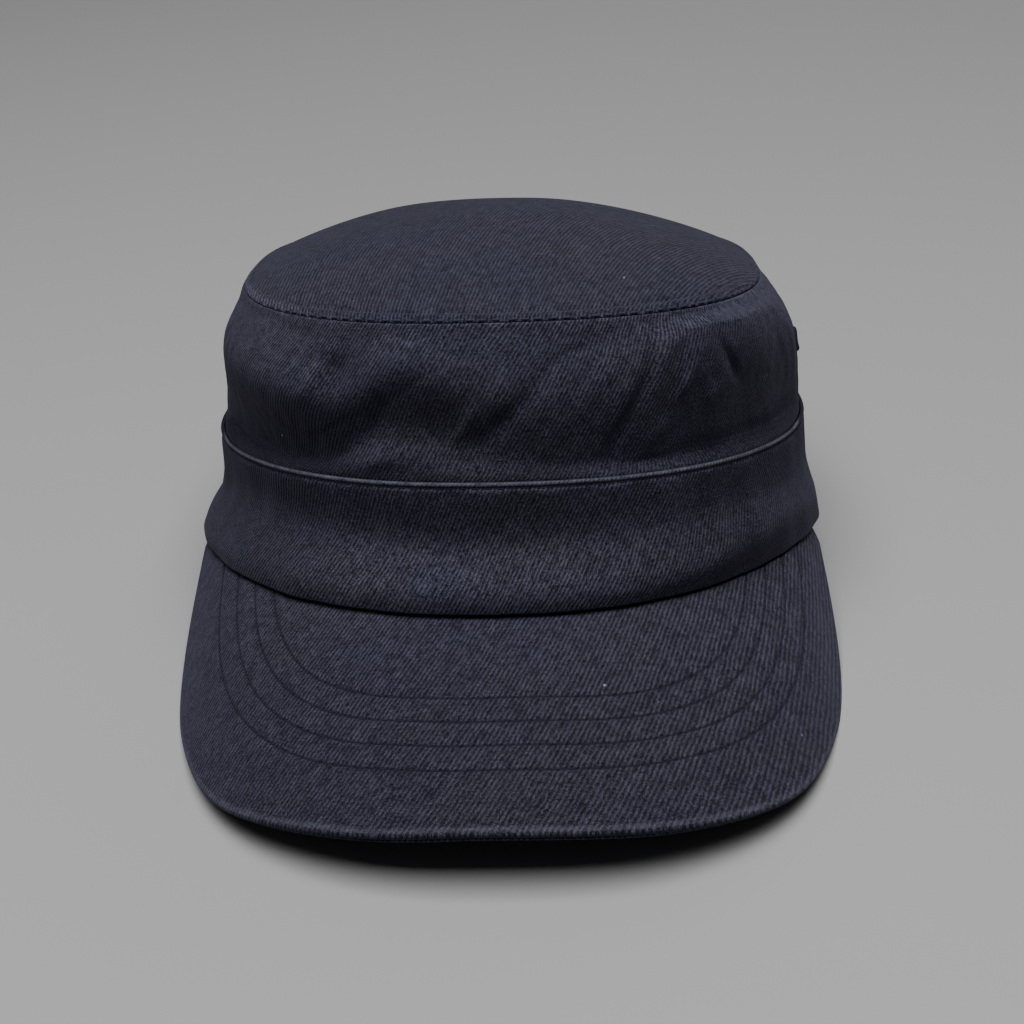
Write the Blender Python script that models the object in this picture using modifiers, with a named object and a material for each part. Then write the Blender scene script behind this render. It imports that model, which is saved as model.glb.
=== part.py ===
"""Patrol cap: soft crown, oval top panel, deep folded band, stitched peak and two vent eyelets.

Every surface is worked out in the cap's own frame. There the hem is the plane z = 0 with its
middle at the origin, the wearer looks along -Y, and +Z runs up the head. The empty cap_at_rest
then leans the cap back, so that the rear of its hem and both side edges of its peak lie on z = 0.
"""
import math
from collections import namedtuple

import bmesh
import bpy
import numpy as np
from mathutils import Vector

MM = 0.001

# Cloth, as thick as it is sewn, and the clearance between neighbours
CROWN_CLOTH = 1.2 * MM
TOP_CLOTH = 1.2 * MM
BAND_CLOTH = 1.9 * MM
PEAK_COVER = 1.9 * MM
PEAK_LINING = 1.1 * MM
GAP = 0.3 * MM

# Hem: the outer edge of the head opening
HEM_HALF_WIDTH = 89.2 * MM
HEM_HALF_LENGTH = 103.0 * MM
HEM_SQUARENESS = 2.17

# Band: from the hem up to its folded top edge
BAND_FRONT_HEIGHT = 33.9 * MM
BAND_REAR_HEIGHT = 28.7 * MM
BAND_LEAN_SIDE = 5.4 * MM
BAND_LEAN_END = 4.4 * MM
BAND_FORWARD = 3.9 * MM
BAND_ASIDE = 1.7 * MM
BAND_SQUARENESS = 2.3
BAND_FLARE_POWER = 2.1
BAND_SWELL = 1.3 * MM

# Crown wall: from the band's folded edge up to the seam of the top panel
WALL_FRONT_HEIGHT = 38.3 * MM
WALL_REAR_HEIGHT = 41.1 * MM
WALL_LEAN_SIDE = 12.1 * MM
WALL_LEAN_END = 15.2 * MM
WALL_FORWARD = 9.9 * MM
WALL_ASIDE = -1.3 * MM
WALL_SHOULDER_POWER = 2.4
WALL_SETBACK = 1.1 * MM
WALL_TUCK_SHARE = 0.86
TOP_SQUARENESS = 2.54
FOLD_DEPTH = 3.0 * MM
FOLD_FADE_SHARE = 0.15

# Top panel: a low dome whose edge rolls over the crown wall
DOME_RISE = 17.5 * MM
DOME_POWER = 2.1
TOP_OVERHANG = 0.5 * MM

# Peak: a sheet bent to the front arc of the hem, falling forward
PEAK_LENGTH = 68.0 * MM
PEAK_CORNER_TURN = math.radians(74.4)
PEAK_SQUARENESS = 2.6
PEAK_FLARE = 5.1 * MM
PEAK_FALL_SHARE = 0.41
PEAK_ARCH = 7.3 * MM
PEAK_BEND_SHARE = 0.95
PEAK_ROOT_TUCK = 1.0 * MM
PEAK_ROOT_TRIM = 3.0 * MM
PEAK_END_TRIM = 8.0 * MM
PEAK_LINING_INSET = 0.6 * MM
PEAK_LINING_TRIM = 4.0 * MM

# Vent eyelets: stitched rings that grip the edge of a hole in the crown wall
EYELET_RADIUS = 3.7 * MM
EYELET_BARREL_RADIUS = 2.5 * MM
EYELET_BORE_RADIUS = 1.7 * MM
EYELET_PROUD = 0.9 * MM
EYELET_EDGE_SHARE = 0.4
EYELET_SLACK = 0.45 * MM
EYELET_UP_SHARE = 0.52
EYELET_TURNS = {"eyelet_left": math.radians(81.0), "eyelet_right": math.radians(-84.0)}

# Resting: how far the cloth is pressed flat where it meets the floor
REST_FLATTEN = 0.6 * MM

# Fineness of the surfaces
COLUMNS = 72
BAND_ROWS = 7
TUCK_ROWS = 3
WALL_ROWS = 12
TOP_ROWS = 6
PEAK_COLUMNS = 37
PEAK_ROWS = 7
EYELET_STEPS = 18
SHARP_ANGLE = math.radians(50.0)

Ring = namedtuple("Ring", "half_width half_length aside shift front rear square")
HEM = Ring(HEM_HALF_WIDTH, HEM_HALF_LENGTH, 0.0, 0.0, 0.0, 0.0, HEM_SQUARENESS)
FOLDED_EDGE = Ring(
    HEM.half_width - BAND_LEAN_SIDE,
    HEM.half_length - BAND_LEAN_END,
    BAND_ASIDE,
    -BAND_FORWARD,
    BAND_FRONT_HEIGHT,
    BAND_REAR_HEIGHT,
    BAND_SQUARENESS,
)
TOP_SEAM = Ring(
    FOLDED_EDGE.half_width - WALL_LEAN_SIDE,
    FOLDED_EDGE.half_length - WALL_LEAN_END,
    FOLDED_EDGE.aside + WALL_ASIDE,
    FOLDED_EDGE.shift - WALL_FORWARD,
    FOLDED_EDGE.front + WALL_FRONT_HEIGHT,
    FOLDED_EDGE.rear + WALL_REAR_HEIGHT,
    TOP_SQUARENESS,
)

# Folds of the crown wall. Turn in degrees from the front, + to +X. Up is the share of the wall's
# height. Slant in degrees from level. Along and across are half lengths as shares of
# WALL_FRONT_HEIGHT, and deep is a share of FOLD_DEPTH, minus for a fold that stands out.
Fold = namedtuple("Fold", "turn up slant along across deep")
WALL_FOLDS = (
    Fold(-44, 0.24, -14, 0.55, 0.24, 1.00),
    Fold(-14, 0.34, 38, 0.45, 0.22, 0.70),
    Fold(-24, 0.76, -30, 0.25, 0.12, 0.30),
    Fold(1, 0.52, 55, 0.50, 0.12, 0.40),
    Fold(12, 0.62, 55, 0.45, 0.13, -0.30),
    Fold(20, 0.50, 48, 0.70, 0.13, 0.70),
    Fold(28, 0.56, 55, 0.30, 0.10, -0.35),
    Fold(43, 0.62, -65, 0.35, 0.12, 0.45),
    Fold(40, 0.16, -10, 0.45, 0.20, 0.50),
    Fold(62, 0.34, 60, 0.40, 0.16, 0.35),
    Fold(-66, 0.55, -60, 0.40, 0.16, 0.35),
    Fold(112, 0.36, 50, 0.60, 0.22, 0.60),
    Fold(-118, 0.32, -50, 0.60, 0.22, 0.60),
    Fold(158, 0.42, 35, 0.70, 0.24, 0.80),
    Fold(-165, 0.28, -25, 0.60, 0.22, 0.60),
)


def powered(value, square):
    """Superellipse coordinate: the value's size to the power 2 / square, its sign kept."""
    return np.sign(value) * np.abs(value) ** (2.0 / square)


def between(low, high, plan, height):
    """Ring between two rings: its outline moved by the share plan, its height by height."""
    mixed = [a + (b - a) * plan for a, b in zip(low, high)]
    ring = Ring(*mixed)
    return ring._replace(
        front=low.front + (high.front - low.front) * height,
        rear=low.rear + (high.rear - low.rear) * height,
    )


def along_ring(ring, turn):
    """Points of a ring at the turns given, 0 at the front and + towards +X."""
    x = ring.aside + ring.half_width * powered(np.sin(turn), ring.square)
    reach = powered(np.cos(turn), ring.square)
    y = ring.shift - ring.half_length * reach
    z = ring.front + (ring.rear - ring.front) * (1.0 - reach) / 2.0
    return np.stack([x, y, z], axis=-1)


def outward(ring, turn):
    """Level unit vectors that point out of a ring at the turns given."""
    slope = ring.square / (ring.square - 1.0)
    x = powered(np.sin(turn), slope) / ring.half_width
    y = -powered(np.cos(turn), slope) / ring.half_length
    length = np.hypot(x, y)
    return np.stack([x / length, y / length, 0.0 * x], axis=-1)


def smooth_step(low, high, value):
    """0 below low, 1 above high and a smooth rise between them."""
    share = np.clip((value - low) / (high - low), 0.0, 1.0)
    return share * share * (3.0 - 2.0 * share)


def band_ring(down):
    """Plain ring of the band, from its folded edge at 0 down to the hem at 1."""
    return between(FOLDED_EDGE, HEM, down**BAND_FLARE_POWER, down)


def band_face(turn, down):
    """Outer face of the band: its plain rings, swollen low down at the front and the rear."""
    swell = BAND_SWELL * math.sin(math.pi * down * down) * np.cos(turn) ** 2
    ring = band_ring(down)
    return along_ring(ring, turn) + outward(ring, turn) * swell[..., None]


def fold_depth(turn, up):
    """How far the folds draw the crown wall in at the turns given."""
    depth = np.zeros_like(turn)
    radius = (FOLDED_EDGE.half_width + FOLDED_EDGE.half_length) / 2.0
    for fold in WALL_FOLDS:
        offset = (turn - math.radians(fold.turn) + math.pi) % (2.0 * math.pi) - math.pi
        level = offset * radius / WALL_FRONT_HEIGHT
        height = up - fold.up
        slant = math.radians(fold.slant)
        along = level * math.cos(slant) + height * math.sin(slant)
        across = height * math.cos(slant) - level * math.sin(slant)
        shape = np.exp(-((along / fold.along) ** 2) - (across / fold.across) ** 2)
        depth += FOLD_DEPTH * fold.deep * shape
    fade = FOLD_FADE_SHARE
    return depth * smooth_step(0.0, fade, up) * smooth_step(0.0, fade, 1.0 - up)


def wall_face(turn, up):
    """Outer face of the crown wall, from the band's folded edge at 0 to the top seam at 1."""
    ring = between(FOLDED_EDGE, TOP_SEAM, up**WALL_SHOULDER_POWER, up)
    behind_band = BAND_CLOTH + 2.0 * GAP
    clear_of_band = smooth_step(0.0, 1.0 / WALL_ROWS, up)
    inset = behind_band + (WALL_SETBACK * (1.0 - up) - behind_band) * clear_of_band
    return along_ring(ring, turn) - outward(ring, turn) * (inset + fold_depth(turn, up))[..., None]


def tuck_face(turn, down):
    """Outer face of the crown wall behind the band, down from the folded edge."""
    ring = band_ring(down)
    return along_ring(ring, turn) - outward(ring, turn) * (BAND_CLOTH + 2.0 * GAP)


def top_face(turn, share):
    """Outer face of the top panel: the top seam shrunk to its middle and raised to a dome."""
    edge_slope = DOME_RISE * DOME_POWER / TOP_SEAM.half_width
    lift = (TOP_CLOTH + GAP) * math.hypot(1.0, edge_slope)
    middle = np.array([TOP_SEAM.aside, TOP_SEAM.shift, (TOP_SEAM.front + TOP_SEAM.rear) / 2.0])
    edge = along_ring(TOP_SEAM, turn) + outward(TOP_SEAM, turn) * TOP_OVERHANG
    points = middle + (edge - middle) * share
    points[..., 2] += lift + DOME_RISE * (1.0 - share**DOME_POWER)
    return points


def evenly(points, count, trim=0.0):
    """Points spaced evenly along a line of points, a length trimmed from both of its ends."""
    steps = np.linalg.norm(np.diff(points, axis=0), axis=1)
    length = np.concatenate([[0.0], np.cumsum(steps)])
    places = np.linspace(trim, length[-1] - trim, count)
    return np.stack([np.interp(places, length, points[:, axis]) for axis in range(2)], axis=-1)


def hem_front(x):
    """Y of the hem's front arc at each x, carried on straight past PEAK_BEND_SHARE."""
    inner = np.minimum(np.abs(x) / HEM_HALF_WIDTH, PEAK_BEND_SHARE)
    fullness = 1.0 - inner**HEM_SQUARENESS
    arc = -HEM_HALF_LENGTH * fullness ** (1.0 / HEM_SQUARENESS)
    slope = -arc / fullness * inner ** (HEM_SQUARENESS - 1.0)
    return arc + slope * (np.abs(x) / HEM_HALF_WIDTH - inner)


def peak_root(count, trim):
    """Plan of the peak's rear edge, tucked under the front arc of the hem."""
    turn = np.linspace(-PEAK_CORNER_TURN, PEAK_CORNER_TURN, 20 * count)
    arc = along_ring(HEM, turn) - outward(HEM, turn) * PEAK_ROOT_TUCK
    return evenly(arc[:, :2], count, trim)


def peak_rim(count, inset, trim):
    """Plan of the peak's free edge round the front, trimmed short of both corners."""
    corner = along_ring(HEM, np.array([PEAK_CORNER_TURN]))[0]
    turn = np.linspace(-math.pi / 2.0, math.pi / 2.0, 40 * count)
    ahead = powered(np.cos(turn), PEAK_SQUARENESS)
    flare = PEAK_FLARE * 4.0 * ahead * (1.0 - ahead)
    x = powered(np.sin(turn), PEAK_SQUARENESS) * (corner[0] + flare - inset)
    y = corner[1] - (HEM_HALF_LENGTH + PEAK_LENGTH + corner[1] - inset) * ahead
    return evenly(np.stack([x, y], axis=-1), count, trim)


def peak_face(inset=0.0, trim=0.0):
    """Upper face of the peak: straight lines down from the hem, steeper to the sides.

    Its rows run from the hem to the rim, each from +X to -X, so that their faces look up.
    """
    root = peak_root(PEAK_COLUMNS, PEAK_ROOT_TRIM + trim)
    rim = peak_rim(PEAK_COLUMNS, inset, PEAK_END_TRIM + trim)
    share = np.linspace(0.0, 1.0, PEAK_ROWS + 1)[:, None, None]
    plan = root + (rim - root) * share
    x, y = plan[..., 0], plan[..., 1]
    ahead = np.maximum(hem_front(x) - y, 0.0)
    arch = PEAK_ARCH * (x / HEM_HALF_WIDTH) ** 2 / PEAK_LENGTH
    face = np.stack([x, y, -GAP - (PEAK_FALL_SHARE + arch) * ahead], axis=-1)
    return face[:, ::-1]


def beneath(face, depth):
    """Points the given depth under a sheet's face, square to it."""
    down = np.cross(np.gradient(face, axis=0), np.gradient(face, axis=1))
    return face + down / np.linalg.norm(down, axis=-1, keepdims=True) * depth


def resting_place():
    """Tilt, shift and lift that stand the cap on the rear of its hem and the peak's sides."""
    cover = beneath(peak_face(), PEAK_COVER)
    lining = beneath(peak_face(PEAK_LINING_INSET, PEAK_LINING_TRIM), PEAK_COVER + GAP + PEAK_LINING)
    low = np.concatenate([cover.reshape(-1, 3), lining.reshape(-1, 3)])
    tilt = float(np.max(np.arctan2(-low[:, 2], HEM_HALF_LENGTH - low[:, 1])))
    lift = HEM_HALF_LENGTH * math.sin(tilt) - REST_FLATTEN
    rim = peak_face()[-1]
    front = np.min(rim[:, 1] * math.cos(tilt) + rim[:, 2] * math.sin(tilt))
    downs = np.linspace(0.0, 1.0, BAND_ROWS + 1)
    rear_points = np.array([band_face(np.array([math.pi]), down)[0] for down in downs])
    rear = np.max(rear_points[:, 1] * math.cos(tilt) + rear_points[:, 2] * math.sin(tilt))
    return tilt, -(front + rear) / 2.0, lift


def cloth(name, colour, roughness):
    """Matte cloth or thread."""
    material = bpy.data.materials.new(name)
    material.use_nodes = True
    shader = material.node_tree.nodes["Principled BSDF"]
    shader.inputs["Base Color"].default_value = (*colour, 1.0)
    shader.inputs["Roughness"].default_value = roughness
    shader.inputs["Metallic"].default_value = 0.0
    material.diffuse_color = (*colour, 1.0)
    return material


def add_object(name, mesh, group, material=None):
    """Named object in a collection, shaded smooth."""
    piece = bpy.data.objects.new(name, mesh)
    group.objects.link(piece)
    if material:
        mesh.materials.append(material)
    mesh.shade_smooth()
    mesh.set_sharp_from_angle(angle=SHARP_ANGLE)
    return piece


def sheet_mesh(name, rows, closed, middle=None):
    """Open mesh through rows of points. A closed one joins its ends, and a middle caps it."""
    count = len(rows[0])
    shape = bmesh.new()
    grid = [[shape.verts.new(point) for point in row] for row in rows]
    last = count if closed else count - 1
    for lower, upper in zip(grid, grid[1:]):
        for i in range(last):
            j = (i + 1) % count
            shape.faces.new((lower[i], lower[j], upper[j], upper[i]))
    if middle is not None:
        centre = shape.verts.new(middle)
        for i in range(last):
            shape.faces.new((grid[-1][i], grid[-1][(i + 1) % count], centre))
    mesh = bpy.data.meshes.new(name)
    shape.to_mesh(mesh)
    shape.free()
    return mesh


def thicken(piece, wall, below=0.0):
    """Cloth of the given wall under the sheet, starting a distance below it."""
    solid = piece.modifiers.new("wall", "SOLIDIFY")
    solid.thickness = wall
    solid.offset = -(2.0 * below + wall) / wall
    return solid


def cut(piece, cutter):
    """Take the cutter's solid out of the piece."""
    trim = piece.modifiers.new("cut_" + cutter.name, "BOOLEAN")
    trim.operation = "DIFFERENCE"
    trim.solver = "EXACT"
    trim.object = cutter


def make_cutter(name, mesh, group):
    """Cutting shape, kept out of the render and drawn as wire."""
    cutter = bpy.data.objects.new(name, mesh)
    group.objects.link(cutter)
    cutter.hide_render = True
    cutter.display_type = "WIRE"
    return cutter


def full_turns():
    """Turns all round a ring, running so that faces built row on row point outwards."""
    return np.linspace(0.0, 2.0 * math.pi, COLUMNS, endpoint=False)


def make_band(group, material):
    """Deep band, from the hem up to its folded edge."""
    turn = full_turns()
    rows = [band_face(turn, down) for down in np.linspace(1.0, 0.0, BAND_ROWS + 1)]
    piece = add_object("band", sheet_mesh("band", rows, True), group, material)
    thicken(piece, BAND_CLOTH)
    return piece


def make_crown_side(group, material):
    """Crown wall, from its lower edge behind the band up to the top seam."""
    turn = full_turns()
    downs = np.linspace(WALL_TUCK_SHARE, 0.0, TUCK_ROWS, endpoint=False)
    rows = [tuck_face(turn, down) for down in downs]
    rows += [wall_face(turn, up) for up in np.linspace(0.0, 1.0, WALL_ROWS + 1)]
    piece = add_object("crown_side", sheet_mesh("crown_side", rows, True), group, material)
    thicken(piece, CROWN_CLOTH)
    return piece


def make_top_panel(group, material):
    """Oval top panel, a low dome."""
    turn = full_turns()
    shares = np.linspace(1.0, 0.0, TOP_ROWS, endpoint=False)
    rows = [top_face(turn, share) for share in shares]
    middle = top_face(np.array([0.0]), 0.0)[0]
    piece = add_object("top_panel", sheet_mesh("top_panel", rows, True, middle), group, material)
    thicken(piece, TOP_CLOTH)
    return piece


def make_peak(group, cover_material, lining_material):
    """Peak cover with its board, and the lining of its underside."""
    cover_mesh = sheet_mesh("peak_cover", peak_face(), False)
    cover = add_object("peak_cover", cover_mesh, group, cover_material)
    thicken(cover, PEAK_COVER)
    lining_mesh = sheet_mesh("peak_underside", peak_face(PEAK_LINING_INSET, PEAK_LINING_TRIM), False)
    lining = add_object("peak_underside", lining_mesh, group, lining_material)
    thicken(lining, PEAK_LINING, PEAK_COVER + GAP)
    return cover, lining


def eyelet_mesh(name):
    """Half section of the eyelet, open along its axis, for a turn about Z."""
    half = CROWN_CLOTH / 2.0 + EYELET_SLACK
    crest = half + EYELET_PROUD
    edge = half + EYELET_PROUD * EYELET_EDGE_SHARE
    crest_radius = (EYELET_RADIUS + EYELET_BORE_RADIUS) / 2.0
    profile = (
        (crest_radius, crest),
        (EYELET_RADIUS, edge),
        (EYELET_RADIUS, half),
        (EYELET_BARREL_RADIUS, half),
        (EYELET_BARREL_RADIUS, -half),
        (EYELET_RADIUS, -half),
        (EYELET_RADIUS, -edge),
        (crest_radius, -crest),
        (EYELET_BORE_RADIUS, -edge),
        (EYELET_BORE_RADIUS, edge),
    )
    mesh = bpy.data.meshes.new(name)
    points = [(radius, 0.0, height) for radius, height in profile]
    edges = [(i, (i + 1) % len(points)) for i in range(len(points))]
    mesh.from_pydata(points, edges, [])
    return mesh


def wall_spot(turn, up):
    """Middle of the crown wall's cloth at a spot, and the wall's direction out there."""
    step = 1e-3
    at = np.array([turn])
    point = wall_face(at, up)[0]
    level = wall_face(at + step, up)[0] - wall_face(at - step, up)[0]
    rise = wall_face(at, up + step)[0] - wall_face(at, up - step)[0]
    out = Vector(np.cross(level, rise)).normalized()
    return Vector(point) - out * CROWN_CLOTH / 2.0, out


def make_eyelets(group, cutters, material, crown_side):
    """Two stitched eyelets, each in its own hole through the crown wall."""
    pieces = []
    for name, turn in EYELET_TURNS.items():
        spot, out = wall_spot(turn, EYELET_UP_SHARE)
        facing = out.to_track_quat("Z", "Y")
        piece = add_object(name, eyelet_mesh(name), group, material)
        piece.location = spot
        piece.rotation_euler = facing.to_euler()
        screw = piece.modifiers.new("turned", "SCREW")
        screw.axis = "Z"
        screw.angle = 2.0 * math.pi
        screw.steps = EYELET_STEPS
        screw.render_steps = EYELET_STEPS
        screw.use_merge_vertices = True
        screw.merge_threshold = 0.00001
        hole = bmesh.new()
        bmesh.ops.create_cone(
            hole,
            cap_ends=True,
            segments=EYELET_STEPS,
            radius1=EYELET_BARREL_RADIUS + GAP,
            radius2=EYELET_BARREL_RADIUS + GAP,
            depth=8.0 * CROWN_CLOTH,
        )
        hole_mesh = bpy.data.meshes.new(name + "_hole")
        hole.to_mesh(hole_mesh)
        hole.free()
        cutter = make_cutter(name + "_hole", hole_mesh, cutters)
        cutter.location = spot
        cutter.rotation_euler = piece.rotation_euler
        cut(crown_side, cutter)
        pieces += [piece, cutter]
    return pieces


def make_floor_cutter(cutters):
    """Block below the floor, wide and deep enough for the whole cap."""
    reach = 2.0 * (HEM_HALF_LENGTH + PEAK_LENGTH)
    block = bmesh.new()
    bmesh.ops.create_cube(block, size=reach * 2.0)
    bmesh.ops.translate(block, verts=block.verts, vec=(0.0, 0.0, -reach))
    mesh = bpy.data.meshes.new("floor_cut")
    block.to_mesh(mesh)
    block.free()
    return make_cutter("floor_cut", mesh, cutters)


def main():
    """Build the cap at rest."""
    for old in list(bpy.data.objects):
        bpy.data.objects.remove(old, do_unlink=True)
    scene = bpy.context.scene
    group = bpy.data.collections.new("patrol_cap")
    cutters = bpy.data.collections.new("cutters")
    scene.collection.children.link(group)
    scene.collection.children.link(cutters)

    crown_side = make_crown_side(group, cloth("crown_twill", (0.022, 0.024, 0.040), 0.86))
    top_panel = make_top_panel(group, cloth("top_twill", (0.026, 0.028, 0.045), 0.86))
    band = make_band(group, cloth("band_twill", (0.020, 0.022, 0.038), 0.86))
    cover, lining = make_peak(
        group,
        cloth("peak_twill", (0.024, 0.026, 0.044), 0.84),
        cloth("peak_underside_twill", (0.018, 0.020, 0.034), 0.88),
    )
    thread = cloth("eyelet_thread", (0.012, 0.013, 0.022), 0.70)
    eyelets = make_eyelets(group, cutters, thread, crown_side)

    tilt, shift, lift = resting_place()
    stand = bpy.data.objects.new("cap_at_rest", None)
    group.objects.link(stand)
    stand.rotation_euler = (-tilt, 0.0, 0.0)
    stand.location = (0.0, shift, lift)
    for piece in [crown_side, top_panel, band, cover, lining] + eyelets:
        piece.parent = stand

    floor_cut = make_floor_cutter(cutters)
    for piece in (band, cover, lining):
        cut(piece, floor_cut)


main()
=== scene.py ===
"""Patrol cap in washed navy twill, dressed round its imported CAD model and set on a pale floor.

Run as a script. It is laid out as an add-on: sizes and colours are properties of the scene, and
each group of pieces has an operator of its own. Every surface is worked out in the cap's own
frame, where the hem is the plane z = 0, the wearer looks along -Y and +Z runs up the head, and is
then leaned back to rest.
"""

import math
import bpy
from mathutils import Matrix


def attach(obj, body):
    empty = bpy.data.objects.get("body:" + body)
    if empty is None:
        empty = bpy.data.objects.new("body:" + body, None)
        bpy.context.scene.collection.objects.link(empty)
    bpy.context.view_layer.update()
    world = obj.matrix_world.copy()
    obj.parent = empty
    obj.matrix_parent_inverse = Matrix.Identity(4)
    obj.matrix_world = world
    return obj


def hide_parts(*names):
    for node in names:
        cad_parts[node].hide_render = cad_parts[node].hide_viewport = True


bl_info = {
    "name": "Patrol Cap",
    "version": (1, 0, 0),
    "blender": (4, 5, 0),
    "location": "View3D > Sidebar > Cap",
    "description": "Patrol cap in washed navy twill, with stitching, vent eyelets and worn folds",
    "category": "Add Mesh",
}

from collections import namedtuple

import bmesh
import bpy
import numpy as np
from bpy.props import FloatProperty, FloatVectorProperty, PointerProperty
from mathutils import Matrix, Vector

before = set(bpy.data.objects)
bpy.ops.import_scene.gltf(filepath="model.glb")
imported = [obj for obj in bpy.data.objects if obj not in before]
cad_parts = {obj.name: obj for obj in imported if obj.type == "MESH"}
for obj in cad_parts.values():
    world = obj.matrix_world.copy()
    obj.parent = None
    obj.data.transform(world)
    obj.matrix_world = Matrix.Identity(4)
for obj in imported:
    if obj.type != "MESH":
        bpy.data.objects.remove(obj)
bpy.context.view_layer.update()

MM = 0.001
BODY = "root"

# Fineness of the surfaces: columns round the cap, rows up each face, rows round a folded edge
RING_COLUMNS = 720
WALL_ROWS = 76
BAND_ROWS = 62
TOP_ROWS = 66
PEAK_COLUMNS = 420
PEAK_ROWS = 104
TUCK_ROWS = 8
EDGE_STEPS = 6
# One row in this many of a cloth's face is kept on its far side
BACK_STRIDE = 5
# Points measured along an outline for each column laid on it, and along a stitch row
OUTLINE_POINTS = 20
ROW_POINTS = 4000
# Places along a stitch, from one end at -1 to the other at 1, and the sides of its thread
STITCH_LINE = np.linspace(-1.0, 1.0, 7)
THREAD_SIDES = 6
# Columns round an eyelet's ring, rows round its section and turns of the thread wrapped round it
EYELET_COLUMNS = 264
EYELET_ROWS = 22
EYELET_WRAPS = 44
# Sides and length of the rods that cut the eyelets' holes, and how far they pass the bore
HOLE_SIDES = 32
HOLE_LENGTH = 10.0 * MM
HOLE_MARGIN = 0.9 * MM
# Step in turn, and in share of a face's height, over which a face's slope is measured
NUDGE = 0.02
# Points closer than this are one point
MERGE = 1e-8
# Distance from the peak's edge that stands for cloth which no edge rubs
UNRUBBED = 10.0 * MM

# Degrees over which the cloth's sags blend into each other
SAG_BLEND = 2.5
# Waves that are added up to a face's unevenness
RIPPLE_WAVES = 16
# Stitch rows of the peak, and the halvings that find the row through a point, from a row this far
# inside the first one to one as far outside it
STITCH_ROWS = 4
ROW_HALVINGS = 22
ROW_LIMIT = 9.0
# What is left off at each end of the peak's free edge and of its root
RIM_TRIM = 2.0 * MM
ROOT_TRIM = 1.0 * MM
# Seeds of the unevenly set stitches of the band, of the peak's first row and of the top seam
BAND_SEED = 31
ROW_SEED = 41
SEAM_SEED = 51

# How strongly the attribute of painted light and shade lightens or darkens the cloth, and how far
# it may go
PAINTED_LIGHT = 0.45
PAINTED_LIGHT_LIMITS = (0.30, 2.2)
# Sheen and gloss of cloth and thread
SHEEN_TINT = (0.66, 0.66, 1.0, 1.0)
SHEEN_ROUGHNESS = 0.45
GLOSS = 0.25
# Features in a metre of the dye's patches, the lint, the wander of the lines, the mottling, the
# fuzz, the thread's strands and the grain of the yarn
PATCH_SCALE = 26.0
LINT_SCALE = 75.0
WANDER_SCALE = 110.0
MOTTLE_SCALE = 260.0
FUZZ_SCALE = 1500.0
STRAND_SCALE = 2600.0
GRAIN_SCALE = 3600.0
# Height of a thread's strands
STRAND_HEIGHT = 0.06 * MM

# Half the floor's width, the place and width of each light, the colour of the even light and the
# width of the camera's frame in millimetres
FLOOR_HALF = 3.0
LAMPS = {"key": ((-0.05, -0.45, 1.3), 1.0), "fill": ((0.5, 1.5, 1.0), 1.2)}
SKY_COLOUR = (0.92, 0.95, 1.0, 1.0)
FRAME_WIDTH = 36.0


def length(name, millimetres, description):
    """Property for a length, given in millimetres."""
    return FloatProperty(
        name=name,
        description=description,
        default=millimetres * MM,
        precision=5,
        unit="LENGTH",
    )


def share(name, value, description):
    """Property for a plain number, such as a share or an exponent."""
    return FloatProperty(name=name, description=description, default=value, precision=3)


def angle(name, degrees, description):
    """Property for an angle, given in degrees."""
    return FloatProperty(
        name=name, description=description, default=math.radians(degrees), unit="ROTATION"
    )


def colour(name, value, description):
    """Property for a colour, linear red, green and blue."""
    return FloatVectorProperty(
        name=name,
        description=description,
        default=value,
        size=3,
        min=0.0,
        max=1.0,
        subtype="COLOR",
    )


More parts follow.
